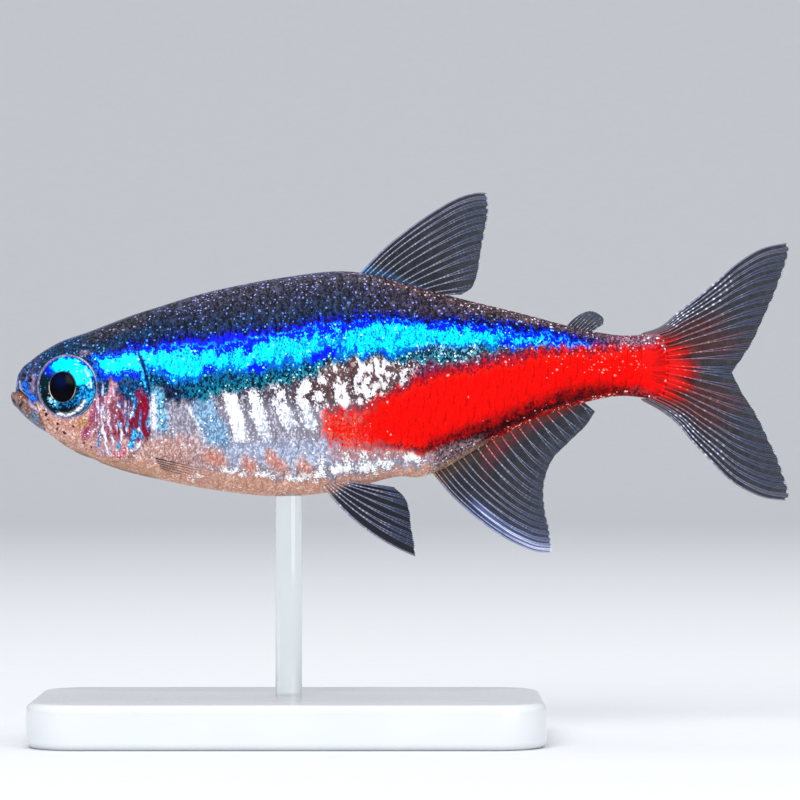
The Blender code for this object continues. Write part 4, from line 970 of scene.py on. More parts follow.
def fin_surface(root, edge, bow, across, share, run):
    """Point of a fin at a share of its base and a run from root to edge.

    Each ray stands off the chord from root to edge, to the left of its run, by (1 - share)^2 times
    4 bow t (1 - t), or times a curve through (run, distance) stations. across gives y from the share, the
    run and the height.
    """
    share, run = np.broadcast_arrays(share, run)
    start, end = along(root, share), along(edge, share)
    chord = end - start
    left = np.stack([-chord[..., 1], chord[..., 0]], -1) / np.linalg.norm(chord, axis=-1, keepdims=True)
    off = curve(bow, run) if isinstance(bow, tuple) else 4 * bow * run * (1 - run)
    flat = start + chord * run[..., None] + left * (off * (1 - share) ** 2)[..., None]
    return np.stack([flat[..., 0], across(share, run, flat[..., 1]), flat[..., 1]], -1)


def ray_strands(surface, rays, branches, settings, seed, thin=1.0, lead=1.5, gather=1.0, pace=1.0):
    """Joined tapered tubes for the rays: whole at the root, in two and then four branches to the edge.

    Rays stand at the shares x^gather of even steps x, so a gather over 1 sets them closer at the leading
    edge. Gives points, faces, and for each point the run from root to tip, the brightness of the joint
    dots and the share.
    """
    draws = np.random.default_rng(seed)
    steps = (np.arange(rays) / (rays - 1)) ** gather * INNER_RAY
    gaps = np.gradient(steps)
    steps[1:-1] += gaps[1:-1] * 0.22 * (draws.random(rays - 2) - 0.5)
    parts = []
    for ray in range(rays):
        seat, phase = (steps[ray], gaps[ray], ray), draws.random()
        first, second = (0.3 + 0.1 * draws.random(), 0.58 + 0.1 * draws.random())
        reach = 1.0 if ray == 0 else 1.0 + 0.004 * draws.random()
        if ray == 0 or branches == 1:
            parts.append((*seat, 0, 0, 0.0, reach, 2, 2, phase))
            continue
        parts.append((*seat, 0, 0, 0.0, first + 0.03, first, 2, phase))
        for one in (-1, 1):
            parts.append((*seat, one, 0, first, second + 0.02, first, second, phase))
            for two in (-1, 1):
                parts.append((*seat, one, two, second, reach, first, second, phase))
    parts = np.array(parts, dtype=float).T[..., None]
    middle, gap, ray, one, two, start, end, first, second, phase = parts
    run = start + (end - start) * np.linspace(0, 1, RAY_STEPS)
    open_one = np.clip((run - first) / (1 - np.minimum(first, 0.99)), 0, 1) ** 0.7
    open_two = np.clip((run - second) / (1 - np.minimum(second, 0.99)), 0, 1) ** 0.8
    share = middle + gap * (BRANCH_SPREAD[0] * one * open_one + BRANCH_SPREAD[1] * two * open_two)
    line = surface(np.clip(share, 0, 1), np.clip(run, 0, 1))
    tangent = np.gradient(line, axis=1)
    tangent /= np.linalg.norm(tangent, axis=-1, keepdims=True) + 1e-9
    line = line + tangent * np.clip(run - 1, 0, 1)[..., None] * RAY_BEYOND
    aside = np.cross(tangent, (0.0, 1.0, 0.0))
    aside /= np.linalg.norm(aside, axis=-1, keepdims=True) + 1e-9
    upright = np.cross(aside, tangent)
    length = np.linalg.norm(np.diff(line, axis=1), axis=2)
    length = np.concatenate([np.zeros((len(line), 1)), np.cumsum(length, axis=1)], axis=1)
    # Ray joints: real swellings, whose dots also carry a painted highlight
    joint = length / (pace * settings.joint_spacing / MM) + phase + 0.3 * np.sin(2.1 * length + 9 * phase)
    pulse = (0.5 + 0.5 * np.cos(2 * np.pi * joint)) ** 6
    pick = (np.round(joint) * 7 + np.round(phase * 997)).astype(int) % DOT_DRAWS
    glow = np.random.default_rng(seed + 1).random(DOT_DRAWS)[pick]
    leading = np.where(ray == 0, lead, 1.0)
    depth = np.where(two != 0, BRANCH_RADIUS[1], np.where(one != 0, BRANCH_RADIUS[0], 1.0))
    radius = settings.ray_radius / MM * thin * leading * depth * (0.9 - 0.38 * run)
    radius *= 1 + 0.12 * pulse * glow
    radius[:, [0, -1]] *= 0.35
    angle = np.arange(RAY_SIDES) * 2 * np.pi / RAY_SIDES
    ring = aside[:, :, None, :] * np.cos(angle)[:, None] + upright[:, :, None, :] * np.sin(angle)[:, None]
    points = (line[:, :, None, :] + ring * radius[:, :, None, None]).reshape(-1, 3)
    last = (RAY_STEPS - 1) * RAY_SIDES
    caps = np.array([(3, 2, 1, 0), (5, 4, 3, 0), (last, last + 1, last + 2, last + 3),
        (last, last + 3, last + 4, last + 5)])
    faces = np.concatenate([grid_faces(RAY_STEPS, RAY_SIDES, wrap=True), caps])
    faces = (faces + np.arange(len(line))[:, None, None] * RAY_STEPS * RAY_SIDES).reshape(-1, 4)
    dots = pulse * (0.1 + 0.9 * glow**2) + 0 * run
    return (points, faces, *(np.repeat(values, RAY_SIDES, axis=-1).ravel()
        for values in (run, dots, share)))


def mix(first, second, weight):
    """Linear blend of two colours by an array of weights."""
    return np.array(first) + (np.array(second) - np.array(first)) * weight[..., None]


def add_fin(name, surface, rays, branches, materials, settings, seed, tint=None, thin=1.0, lead=1.5,
        alpha=None, gather=1.0, dots=None, opaque=None, pace=1.0, rows=36):
    """A fin: its membrane as a thin closed sheet with a worn edge, for the node of its name, and its rays.

    tint(colour, points, run, share, ray) colours both; dots(run, share) is the brightness of the joint
    dots, and opaque(points) the least alpha of the membrane; pace is the joints' spacing in shares of the
    setting.
    """
    membrane_finish, ray_finish = materials
    columns = rays * 6 + 1
    even = np.linspace(0, 1, columns)[None, :]
    share = even**gather
    run = np.linspace(0, 1, rows)[:, None] ** 0.9
    between = np.sin(np.pi * even * (rays - 1)) ** 2
    rough = value_noise(np.stack(np.broadcast_arrays(even * 60, 0.0, 0.0), -1), 1.0, seed)
    grid = surface(share, run * (0.996 - WORN_EDGE * between * (0.4 + rough)))
    half = settings.membrane_thickness / MM / 2 * (1.1 - 0.6 * run)
    step = np.broadcast_to(half, grid.shape[:2])[..., None] * np.array((0, 1, 0))
    points = np.concatenate([(grid + step).reshape(-1, 3), (grid - step).reshape(-1, 3)])
    hold = settings.membrane_alpha if alpha is None else alpha
    colour = np.broadcast_to(np.array(tuple(settings.membrane_colour)), grid.shape).copy()
    shade = 0 * run + 0 * share
    if tint is not None:
        colour = tint(colour, grid, run + shade, share + shade, False)
    thick = hold * (1.08 - 0.16 * run) + shade
    if opaque is not None:
        thick = np.maximum(thick, opaque(grid))
    layer = np.concatenate([colour, thick[..., None]], -1).reshape(-1, 4)
    add_piece(name + "_membrane", points, sheet_faces(rows, columns), membrane_finish, (name,),
        {"paint": np.concatenate([layer, layer])})
    points, faces, run, glow, share = ray_strands(surface, rays, branches, settings, seed, thin, lead,
        gather, pace)
    # Joint dots: the real ray joints, lightened as painted highlights
    bright = np.clip(glow * (0.9 - 0.8 * run if dots is None else dots(run, share)), 0, 1)
    outer = ramp(run, 0.45, 0.4) * ramp(share, 0.02, 0.1) * 0.7
    colour = mix(tuple(settings.ray_colour), linear("#35466f"), outer)
    if tint is not None:
        colour = tint(colour, points, run, share, True)
    colour = mix(colour, tuple(settings.joint_highlight_colour), bright)
    layer = np.concatenate([colour, np.ones((len(colour), 1))], -1)
    add_piece(name + "_rays", points, faces, ray_finish, (), {"paint": layer})


class TETRA_OT_skin(bpy.types.Operator):
    """One skin from the lips to the tail stalk, with the head's forms raised in it"""

    bl_idname = "tetra.skin"
    bl_label = "Skin"

    def execute(self, context):
        depth = context.scene.tetra.skin_depth / MM
        seen = as_seen(FLANK)
        height = relief(seen[..., 0], seen[..., 1]) - depth * ramp(FLANK[..., 0], 5.0, 2.0)
        side = FLANK + FLANK_NORMAL * height[..., None]
        thin = ramp(PLACE[:, None], STALK_THIN[0], STALK_THIN[1] - STALK_THIN[0])
        side[..., 1] *= 1 - 0.94 * thin
        side[:, [0, -1], 1] = 0
        ring = full_ring(side)
        rows, columns = ring.shape[:2]
        caps = ring[[0, -1]].mean(axis=1) + ((-0.01, 0, 0), (0.1, 0, 0))
        points = np.concatenate([ring.reshape(-1, 3), caps])
        coat = markings(np.concatenate([full_ring(FLANK).reshape(-1, 3), caps]))
        finish = speckled_skin("painted gel skin under clear varnish", 0.02)
        u = np.concatenate([np.repeat(np.arange(rows) / rows, columns), (0, 1)])
        v = np.concatenate([np.tile(np.arange(columns) / columns, rows), (0.5, 0.5)])
        add_piece("skin", points, end_fans(rows, columns), finish,
            ("head", "lower_jaw", "gill_cover_left", "gill_cover_right", "trunk_front", "trunk_rear",
            "tail_stalk"), coat.layers(), np.stack([u, v], -1))
        return {"FINISHED"}


class TETRA_OT_scales(bpy.types.Operator):
    """Rows of thin overlapping scales on both sides, from the gill slit to the tail fin"""

    bl_idname = "tetra.scales"
    bl_label = "Scales"

    def execute(self, context):
        settings = context.scene.tetra
        pitch, spacing = settings.scale_pitch / MM, settings.row_spacing / MM
        lift, depth = settings.scale_lift / MM, settings.skin_depth / MM
        row, column = np.meshgrid(np.arange(-SCALE_ROWS, SCALE_ROWS + 1), np.arange(SCALE_COLUMNS),
            indexing="ij")
        draws = np.random.default_rng(5)
        place = SCALE_FRONT + pitch * (column + 0.5 * (row % 2)) + 0.05 * (draws.random(row.shape) - 0.5)
        arc = spacing * row + 0.03 * (draws.random(row.shape) - 0.5)
        place, arc = place.ravel(), arc.ravel()
        length = np.interp(place, PLACE, ARC)
        middle = np.interp(place, PLACE, ARC_MIDDLE)
        share = (middle + arc) / length
        centre = on_flank(place, np.clip(share, 0, 1), np.zeros(place.shape))
        on_body = (share > 0.02) & (share < 0.98) & (place < SCALE_REAR)
        behind = centre[:, 0] > slit_place(np.clip(centre[:, 2], -3.7, 2.4)) + 0.1
        behind &= (centre[:, 2] > -3.6) | (place > 6.0)
        chosen = on_body & behind
        place, arc = place[chosen], arc[chosen]
        rows = columns = SCALE_GRID
        u = np.linspace(0, 1, rows)[None, :, None]
        v = np.linspace(-1, 1, columns)[None, None, :]
        size = ramp(30.5, place, 6.0)[:, None, None] * 0.25 + 0.8
        half = 1.1 * spacing * size * (0.55 + 0.45 * np.sin(np.pi / 2 * np.clip(u * 1.6, 0, 1)))
        run = 1.06 * size * (0.48 + 0.52 * np.sqrt(np.clip(1 - v**2 * 0.98, 0, 1)))
        local_s = place[:, None, None] + (u - 0.45) * run
        local_arc = arc[:, None, None] + v * half
        share = (np.interp(local_s, PLACE, ARC_MIDDLE) + local_arc) / np.interp(local_s, PLACE, ARC)
        rise = -depth - 0.03 + (lift + 0.03) * u * (1 - 0.75 * v**2)
        ripple = 0.003 * np.sin(16 * u)
        inward = np.clip((1 - u) * (1 - np.abs(v)) * 8, 0, 1)
        top = on_flank(local_s, share, rise + ripple)
        under = on_flank(local_s, share, rise - 0.006 - 0.016 * inward)
        keep = (share.min(axis=(1, 2)) > 0.0) & (share.max(axis=(1, 2)) < 1.0)
        top, under, local_s, share = top[keep], under[keep], local_s[keep], share[keep]
        faces = sheet_faces(rows, columns)
        count = len(top)
        offset = np.arange(count)[:, None, None] * 2 * rows * columns
        faces = (faces[None] + offset).reshape(-1, 4)
        finish = speckled_skin("painted scale film under clear varnish", 0.012)
        spot = np.stack([np.broadcast_to(u - 0.5, share.shape), np.broadcast_to(v / 2, share.shape)],
            -1) * 0.003
        seat = np.stack([local_s.mean(axis=(1, 2)) / 30.0, share.mean(axis=(1, 2))], -1)[:, None, None, :]
        patch = np.repeat((seat + spot)[:, None], 2, axis=1).reshape(-1, 2)
        edge = np.broadcast_to(ramp(u, 0.7, 0.2) + 0 * v, top.shape[:3]).reshape(count, -1)
        edge = np.concatenate([edge, edge], axis=1)
        tone = 1 + 0.08 * (np.random.default_rng(6).random(count) - 0.5)
        for side, label, seed in ((-1, "left", 11), (1, "right", 47)):
            points = np.stack([top, under], axis=1).reshape(count, -1, 3) * (1, side, 1)
            coat = markings(points, seed)
            pigment = ramp(coat.z, curve(ROYAL_TOP, coat.s), 0.5) * 0.34 + 0.06
            shade = tone[:, None] * (1 - pigment * edge)
            coat.base *= shade[..., None]
            coat.speck *= shade[..., None]
            add_piece("scales_" + label, points.reshape(-1, 3), faces, finish, (),
                coat.layers(), patch)
        return {"FINISHED"}


class TETRA_OT_eyes(bpy.types.Operator):
    """Eyes: a domed iris painted in rings, a raised black pupil and a clear gloss over both"""

    bl_idname = "tetra.eyes"
    bl_label = "Eyes"

    def execute(self, context):
        (rings, pupil, back_rings), around = EYE_RINGS, EYE_AROUND
        t = np.linspace(0, 1, rings)[:, None]
        angle = (np.arange(around) * 2 * np.pi / around)[None, :]
        pupil_rings = pupil / (rings - 1)
        inner = np.clip(t / pupil_rings, 0, 1)
        outer = np.clip((t - pupil_rings) / (1 - pupil_rings), 0, 1)
        edge_s = EYE_CENTRE[0] + EYE_RADII[0] * np.cos(angle)
        edge_z = EYE_CENTRE[1] + EYE_RADII[1] * np.sin(angle)
        hole_s = PUPIL_CENTRE[0] + PUPIL_RADII[0] * np.cos(angle) * inner
        hole_z = PUPIL_CENTRE[1] + PUPIL_RADII[1] * np.sin(angle) * inner
        s = hole_s + (edge_s - hole_s) * outer
        z = hole_z + (edge_z - hole_z) * outer
        radial = eye_share(s, z)
        side = flesh_side(s, z)
        dome = 0.3 * np.sqrt(np.clip(1 - (radial * 0.97) ** 2, 0, 1)) - 0.1
        lens = 0.05 * np.sqrt(np.clip(1 - inner**2, 0, 1))
        lens = lens - 0.035 * np.exp(-(outer / 0.05) ** 2) * (inner >= 1)
        y = side + dome + lens
        front = from_seen(s, y, z)
        sink = np.linspace(0, 1, back_rings + 1)[1:, None]
        back_s = EYE_CENTRE[0] + (edge_s - EYE_CENTRE[0]) * np.sqrt(1 - sink**2 * 0.999)
        back_z = EYE_CENTRE[1] + (edge_z - EYE_CENTRE[1]) * np.sqrt(1 - sink**2 * 0.999)
        back_y = y[-1:] * (1 - sink) + EYE_SINK * sink
        grid = np.concatenate([front[1:], from_seen(back_s, back_y, back_z)])
        points = np.concatenate([grid.reshape(-1, 3), front[:1].mean(axis=1), grid[-1:].mean(axis=1)])
        faces = end_fans(len(grid), around)
        seen = as_seen(points)
        colour = iris_colours(seen[:, 0], seen[:, 1], context.scene.tetra)
        finish = finish_from_paint("cast glass eye, painted behind", 0.18, 0.02, 0.03)
        for side_sign, label in ((-1, "left"), (1, "right")):
            placed = points * (1, side_sign, 1)
            layer = np.concatenate([colour, np.ones((len(colour), 1))], -1)
            add_piece("eye_" + label + "_glass", placed, faces, finish, ("eye_" + label,),
                {"paint": layer})
        return {"FINISHED"}


def flesh_side(s, z):
    """Half width of the plain flesh at a place and height."""
    top, bottom = curve(BACK, s), curve(BELLY, s)
    widest = bottom + WIDEST_SHARE * (top - bottom)
    reach = np.where(z > widest, top - widest, widest - bottom)
    share = np.clip(np.abs(z - widest) / reach, 0, 0.999)
    return curve(HALF_WIDTH, s) * (1 - share**SECTION_POWER) ** (1 / SECTION_POWER)


def iris_colours(s, z, settings):
    """Paint of the eye: black pupil, cream ring, teal iris, a cyan arc over the top and silver below, and a
    painted reflection on the pupil.
    """
    across, up = s - PUPIL_CENTRE[0], z - PUPIL_CENTRE[1]
    hole = np.hypot(across / PUPIL_RADII[0], up / PUPIL_RADII[1])
    rim = eye_share(s, z)
    turn = np.degrees(np.arctan2(z - EYE_CENTRE[1], s - EYE_CENTRE[0]))
    flat = np.stack([s, z, 0 * s], -1)
    grain = value_noise(flat, 0.07, 91)
    patch = value_noise(flat, 0.25, 92)
    ragged = (grain - 0.5) * 0.16 + (patch - 0.5) * 0.1
    fine = 0.6 * value_noise(flat, 0.055, 93) + 0.4 * value_noise(flat, 0.11, 94)
    speck = np.argsort(np.argsort(fine)) / len(fine)

    def arc(centre, half_angle, soft):
        away = np.abs((turn - centre + 180) % 360 - 180)
        return ease((half_angle - away) / soft + 0.5 + ragged * 2)

    def band(low, high, soft):
        return ease((rim + ragged - low) / soft + 0.5) * ease((high - rim - ragged) / soft + 0.5)

    colour = np.broadcast_to(np.array(linear("#051a2a")), s.shape + (3,)).copy()

    def lay(mask, shade):
        colour[:] = mix(colour, linear(shade), np.clip(mask, 0, 1))

    def flecks(share, soft=0.06):
        return ease((speck - (1 - share)) / soft + 0.5)

    outwards = ramp(rim + ragged * 0.5, 0.93, 0.05)
    lay(flecks(0.4), "#0c4f7a")
    lay(arc(190, 55, 20) * (1 - outwards), "#07202a")
    lay(arc(190, 60, 20) * flecks(0.03), "#5fc2e0")
    lay(arc(-10, 55, 30) * band(0.5, 0.95, 0.12), "#083f7e")
    lay(arc(-10, 60, 30) * band(0.45, 0.95, 0.1) * flecks(0.55), "#1186d4")
    lay(arc(-10, 60, 30) * band(0.45, 0.9, 0.1) * flecks(0.18), "#35c8ff")
    lay(arc(84, 64, 22) * band(0.62, 1.04, 0.14), "#0420b8")
    lay(arc(80, 57, 12) * band(0.68, 1.04, 0.1), "#0220ff")
    lay(arc(71, 60, 12) * band(0.52, 0.925, 0.1), "#0098ff")
    lay(arc(71, 57, 12) * band(0.55, 0.905, 0.08), "#00f0ff")
    by_pupil = ramp(hole, 1.08, 0.06) * ease((0.88 - rim - ragged) / 0.08 + 0.5)
    lay(arc(46, 37, 12) * by_pupil, "#00dcff")
    lay(arc(45, 42, 14) * band(0.54, 0.86, 0.1) * flecks(0.07), "#d8ffff")
    lay(arc(32, 16, 8) * band(0.6, 0.8, 0.06) * flecks(0.06), "#04284e")
    lay(arc(0, 46, 12) * ease((rim + ragged * 0.3 - 0.8) / 0.03 + 0.5) *
        ease((0.865 - rim - ragged * 0.3) / 0.03 + 0.5) * flecks(0.55), "#c8faff")
    lay(arc(-32, 26, 12) * band(0.76, 0.95, 0.06) * flecks(0.62), "#1fb0ea")
    lay(arc(-105, 62, 16) * band(0.66, 0.9, 0.1), "#0b0f14")
    lay(arc(-95, 50, 16) * band(0.5, 0.68, 0.1) * flecks(0.5), "#0a72b4")
    lay(arc(-133, 18, 10) * band(0.6, 0.82, 0.08) * flecks(0.45), "#1f9cd0")
    lay(arc(-136, 14, 10) * band(0.64, 0.8, 0.08) * flecks(0.22), "#b8f6ff")
    lay(arc(-152, 10, 8) * band(0.56, 0.68, 0.06) * flecks(0.6), "#c8b084")
    spiral = rim + ragged * 0.35 - 0.935 + 0.19 * np.clip((turn + 100) / 62, 0, 1)
    silver = np.exp(-(spiral / 0.06) ** 2) * arc(-74, 38, 10)
    lay(silver * (0.7 + 0.5 * flecks(0.7)), "#aab6cc")
    lay(ramp(silver, 0.55, 0.2) * flecks(0.75), "#f6f8fe")
    lay(arc(-95, 70, 10) * ramp(rim, 0.955, 0.02), "#93a4bc")
    lay(ramp(rim, 0.978, 0.012), "#585673")
    ring = np.exp(-((hole - 1.035) / 0.022) ** 2)
    lay(ring * 0.8, "#5c5658")
    lay(ring * arc(195, 24, 20) * 1.2, "#fff0dc")
    lay(ring * arc(-40, 30, 30), "#e0c8ac")
    inside = ramp(1.015, hole, 0.015)
    colour[:] = mix(colour, tuple(settings.pupil_colour), inside)
    # Painted reflection: a faint dark blue oval on the pupil
    glint = inside * np.exp(-(np.hypot((across + 0.1) / 0.24, (up - 0.26) / 0.28)) ** 2)
    colour[:] = mix(colour, linear("#04164a"), glint * 0.6)
    return colour


class TETRA_OT_fins(bpy.types.Operator):
    """Fins: clear membranes with jointed, branching rays"""

    bl_idname = "tetra.fins"
    bl_label = "Fins"

    def execute(self, context):
        settings = context.scene.tetra
        materials = (clear_membrane(), finish_from_paint("cast fin ray, varnished", 0.35, 0.1, 0.2))
        flat = lambda share, run, z: np.zeros(z.shape)

        def on_back(places, depth):
            return [(s, float(curve(BACK, s)) - depth) for s in places]

        def under_belly(places, depth):
            return [(s, float(curve(BELLY, s)) + depth) for s in places]

        def fan(root, edge, bow, across=flat):
            return lambda share, run: fin_surface(root, edge, bow, across, share, run)

        def blue_base(colour, points, run, share, ray):
            glow = ramp(0.12, run, 0.11) * (0.75 if ray else 0.15)
            return mix(colour, linear("#3f9fe8"), glow)

        def tail_red(colour, points, run, share, ray):
            far = np.hypot(points[..., 0] - TAIL_HUB[0], points[..., 2] - TAIL_HUB[1])
            far = far + 1.1 * (value_noise(np.stack([share * 26, 0 * share, 0 * share], -1), 1.0, 77) - 0.5)
            inside = ramp(share, 0.13, 0.25)
            lobe = inside * ramp(0.97, share, 0.25)
            deep, bright, far_out = ("#8c4048", "#ff0c06", 0.4) if ray else ("#380c0a", "#d00404", 0.0)
            colour = mix(colour, linear("#5e4e52" if ray else "#2c242c"), ramp(0.3, run, 0.25) * 0.85)
            colour = mix(colour, linear(deep), ramp(4.2 + far_out, far, 2.0) * lobe * (0.6 if ray else 0.9))
            colour = mix(colour, linear("#a81408"), ramp(1.65 + far_out, far, 0.9) * inside *
                (0.6 + 0.4 * lobe))
            return mix(colour, linear(bright), ramp(1.15 + far_out, far, 0.8) * inside)

        def flesh_near(points):
            return ramp(2.5, np.hypot(points[..., 0] - TAIL_HUB[0], points[..., 2] - TAIL_HUB[1]), 1.4)

        # Brightness of the painted highlights at the tail's ray joints
        def tail_dots(run, share):
            low = ramp(0.36, share, 0.2) * ramp(0.75, run, 0.3) * 1.5 + 0.3
            return low * (ramp(run, 0.12, 0.1) * ramp(0.85, run, 0.3))

        def anal_base(colour, points, run, share, ray):
            amount = 0.85 if ray else 0.12
            red = ramp(0.38, run, 0.3) * ramp(points[..., 0], 20.6, 1.0)
            rust = ramp(0.16, run, 0.12)
            colour = mix(mix(colour, linear("#8f6a52"), rust * amount), linear("#d8300c"), red * amount)
            gleam = ramp(0.16, share, 0.1) * ramp(run, 0.22, 0.2)
            colour = mix(colour, linear("#8a9ad0" if ray else "#222c4c"), gleam * 0.6)
            streak = np.exp(-((share - 0.085 + 0.065 * run) / 0.02) ** 2) * ramp(run, 0.28, 0.2)
            return mix(colour, linear("#eef2ff" if ray else "#5a6ca8"), streak * 0.8)

        def pelvic_base(colour, points, run, share, ray):
            flesh = ramp(0.17, run, 0.15) * 0.9
            return mix(colour, linear("#b48c80" if ray else "#8a6e66"), flesh)

        def clear_pink(colour, points, run, share, ray):
            if not ray:
                return mix(colour, linear("#c8a49c"), 0.9 + 0 * run)
            return mix(linear("#2e1a1e"), linear("#a87c70"), ramp(run, 0.15, 0.6))

        add_fin("dorsal_fin", fan(on_back(DORSAL_ROOT, ROOT_DEPTH), DORSAL_EDGE, DORSAL_BOW), 13, 4,
            materials, settings, 101, blue_base, gather=1.3, pace=0.55)
        add_fin("adipose_fin", fan(on_back(ADIPOSE_ROOT, ROOT_DEPTH), ADIPOSE_EDGE, 0.06), 9, 4, materials,
            settings, 102, thin=0.62, lead=0.9, alpha=0.7)
        add_fin("anal_fin", fan(under_belly(ANAL_ROOT, ROOT_DEPTH), ANAL_EDGE, ANAL_BOW), 20, 4, materials,
            settings, 103, anal_base, gather=1.35, pace=0.6)
        add_fin("tail_fin_upper", fan(UPPER_ROOT, UPPER_EDGE, UPPER_BOW), 13, 4, materials, settings, 104,
            tail_red, gather=1.3, dots=tail_dots, opaque=flesh_near)
        add_fin("tail_fin_lower", fan(LOWER_ROOT, LOWER_EDGE, LOWER_BOW), 13, 4, materials, settings, 105,
            tail_red, gather=1.3, dots=tail_dots, opaque=flesh_near)
        pelvic_root = under_belly(PELVIC_ROOT, 0.45)
        for side, label in ((-1, "left"), (1, "right")):
            def pelvic_across(share, run, z):
                drop = np.clip(-4.9 - z, 0, 10)
                return side * (PELVIC_ROOT_Y + PELVIC_SPLAY * drop)

            add_fin("pelvic_fin_" + label, fan(pelvic_root, PELVIC_EDGE, -0.38, pelvic_across), 8, 4,
                materials, settings, 106, pelvic_base, pace=0.6)

            def pectoral(share, run):
                share, run = np.broadcast_arrays(share, run)
                start = along(PECTORAL_ROOT, share)
                start = np.stack([start[..., 0], flesh_side(start[..., 0], start[..., 1]) - 0.12,
                    start[..., 1]], -1)
                end = along(PECTORAL_EDGE, share)
                point = start + (end - start) * run[..., None]
                point[..., 1] += PECTORAL_BULGE * np.sin(np.pi * run)
                return point * (1, side, 1)

            add_fin("pectoral_fin_" + label, pectoral, 5, 1, materials, settings, 107, clear_pink,
                thin=0.55, alpha=0.08, dots=lambda run, share: 0.15)
        return {"FINISHED"}


class TETRA_OT_stand(bpy.types.Operator):
    """Display stand: an opal acrylic base and a clear acrylic rod"""

    bl_idname = "tetra.stand"
    bl_label = "Stand"

    def execute(self, context):
        colour = context.scene.tetra.base_colour
        base = acrylic("opal cast acrylic", colour, 0.0)
        clear = acrylic("clear acrylic rod", linear("#f4f8fa"), 0.9)
        length, width, height = BASE_SIZE
        bend = np.linspace(0, np.pi / 2, 9)
        inset = np.concatenate([[length], BASE_EDGE * (1 - np.sin(bend)), BASE_EDGE * (1 - np.cos(bend)),
            [length]])
        inset[[0, -1]] = width / 2 - 0.5
        level = np.concatenate([[0], BASE_EDGE * (1 - np.cos(bend)),
            height - BASE_EDGE * (1 - np.sin(bend)), [height]])
        corner = np.concatenate([np.linspace(q, q + 90, CORNER_STEPS) for q in (0, 90, 180, 270)])
        turn = np.radians(corner)
        sign_s, sign_y = np.repeat((1, -1, -1, 1), CORNER_STEPS), np.repeat((1, 1, -1, -1), CORNER_STEPS)
        radius = np.maximum(BASE_CORNER - inset, 0.02)[:, None]
        reach_s = length / 2 - inset[:, None] - radius
        reach_y = width / 2 - inset[:, None] - radius
        s = ROD_PLACE + sign_s * reach_s + radius * np.cos(turn)
        y = sign_y * reach_y + radius * np.sin(turn)
        z = np.broadcast_to(level[:, None] - AXIS_HEIGHT, s.shape)
        self.capped("stand_base_slab", np.stack([s, y, z], -1), base, "stand_base")
        belly = float(curve(BELLY, ROD_PLACE)) + 0.25
        foot = BASE_SIZE[2] - AXIS_HEIGHT - 0.3
        height = np.concatenate([foot + ROD_EDGE * (1 - np.cos(bend)),
            belly - ROD_EDGE * (1 - np.sin(bend))])
        radius = ROD_RADIUS - ROD_EDGE + ROD_EDGE * np.concatenate([np.sin(bend), np.cos(bend)])
        turn = np.linspace(0, 2 * np.pi, 48, endpoint=False)
        s = ROD_PLACE + radius[:, None] * np.cos(turn)
        y = radius[:, None] * np.sin(turn)
        z = np.broadcast_to(height[:, None], s.shape)
        self.capped("stand_rod_clear", np.stack([s, y, z], -1), clear, "stand_rod")
        return {"FINISHED"}

    def capped(self, name, rings, material, node):
        """Rings joined into a closed solid, with a fan to the middle of the first and the last."""
        points = np.concatenate([rings.reshape(-1, 3), rings[[0, -1]].mean(axis=1)])
        add_piece(name, points, end_fans(*rings.shape[:2]), material, (node,))


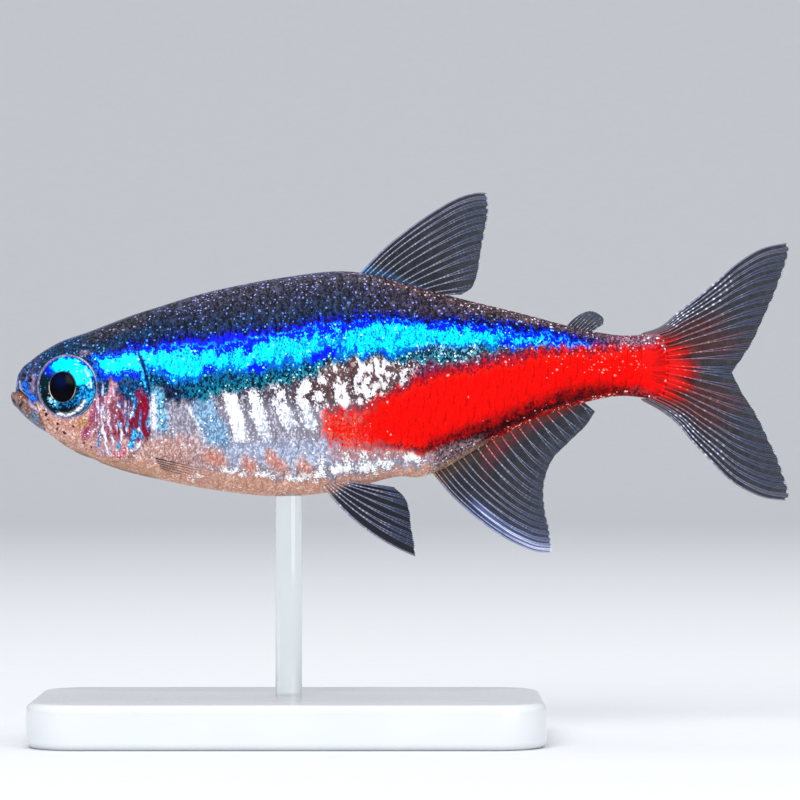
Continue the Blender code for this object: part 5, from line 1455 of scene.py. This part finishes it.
class TETRA_OT_stage(bpy.types.Operator):
    """Stage: a pale sweep, soft lights and the camera at the photograph's angle"""

    bl_idname = "tetra.stage"
    bl_label = "Stage"

    def execute(self, context):
        settings = context.scene.tetra
        # Painted paper: matt and even, so that only the fish and its stand catch the light
        material, tree, place = new_material("painted paper sweep")
        grain = add_node(tree, "TexNoise", {"Vector": place, "Scale": 900.0, "Detail": 2.0})
        tone = add_node(tree, "MapRange", {"Value": grain.outputs["Fac"], "To Min": 0.98, "To Max": 1.02})
        tint = add_node(tree, "VectorMath", {0: tuple(settings.backdrop_colour), "Scale": tone},
            operation="SCALE")
        shader = add_node(tree, "BsdfPrincipled", {"Base Color": tint, "Roughness": 0.9,
            "Specular IOR Level": 0.1})
        add_node(tree, "OutputMaterial", {"Surface": shader})
        bend = np.linspace(0, np.pi / 2, 24)
        run = np.concatenate([[-0.9], 0.35 + 0.25 * np.sin(bend), [0.6]])
        rise = np.concatenate([[0], 0.25 * (1 - np.cos(bend)), [1.2]])
        side = np.linspace(-1.2, 1.2, 9)
        x, y = np.meshgrid(side, run)
        z = np.repeat(rise[:, None], len(side), axis=1)
        mesh = bpy.data.meshes.new("sweep")
        mesh.from_pydata(np.stack([x, y, z], -1).reshape(-1, 3), [],
            grid_faces(len(run), len(side)).tolist())
        mesh.shade_smooth()
        mesh.materials.append(material)
        sweep = bpy.data.objects.new("sweep", mesh)
        context.scene.collection.objects.link(sweep)

        world = bpy.data.worlds.new("studio")
        world.use_nodes = True
        sky = world.node_tree.nodes["Background"].inputs
        sky["Color"].default_value = (*linear("#eef1f5"), 1)
        sky["Strength"].default_value = WORLD_STRENGTH
        context.scene.world = world
        for label, spot, power, size in LAMPS:
            lamp = bpy.data.lights.new(label, "AREA")
            lamp.energy = power
            lamp.size = size
            holder = bpy.data.objects.new(label, lamp)
            holder.location = spot
            aim = np.array(LAMP_AIM) - spot
            tilt = np.arctan2(np.hypot(aim[0], aim[1]), -aim[2])
            holder.rotation_euler = (tilt, 0, np.arctan2(aim[1], aim[0]) - np.pi / 2)
            context.scene.collection.objects.link(holder)

        lens = bpy.data.cameras.new("camera")
        lens.lens = LENS
        lens.sensor_width = SENSOR
        lens.clip_start = 0.01
        holder = bpy.data.objects.new("camera", lens)
        holder.location = in_world((PHOTO_CENTRE[0], -CAMERA_REACH, PHOTO_CENTRE[1]))
        holder.rotation_euler = (np.pi / 2, 0, 0)
        context.scene.collection.objects.link(holder)
        context.scene.camera = holder
        context.scene.view_settings.view_transform = "Standard"
        return {"FINISHED"}


class TETRA_PT_panel(bpy.types.Panel):
    """The model's operators, in the order they run"""

    bl_idname = "TETRA_PT_panel"
    bl_label = "Neon tetra"
    bl_space_type = "VIEW_3D"
    bl_region_type = "UI"
    bl_category = "Tetra"

    def draw(self, context):
        for step in STEPS:
            self.layout.operator(step.bl_idname)
        for label in TetraSettings.__annotations__:
            self.layout.prop(context.scene.tetra, label)


STEPS = (TETRA_OT_stage, TETRA_OT_skin, TETRA_OT_scales, TETRA_OT_eyes, TETRA_OT_fins, TETRA_OT_stand)
CLASSES = (TetraSettings, *STEPS, TETRA_PT_panel)


def register():
    for item in CLASSES:
        bpy.utils.register_class(item)
    bpy.types.Scene.tetra = bpy.props.PointerProperty(type=TetraSettings)


def unregister():
    del bpy.types.Scene.tetra
    for item in reversed(CLASSES):
        bpy.utils.unregister_class(item)


def main():
    """Makes every piece in order."""
    register()
    for step in STEPS:
        family, label = step.bl_idname.split(".")
        getattr(getattr(bpy.ops, family), label)()


if __name__ == "__main__":
    main()
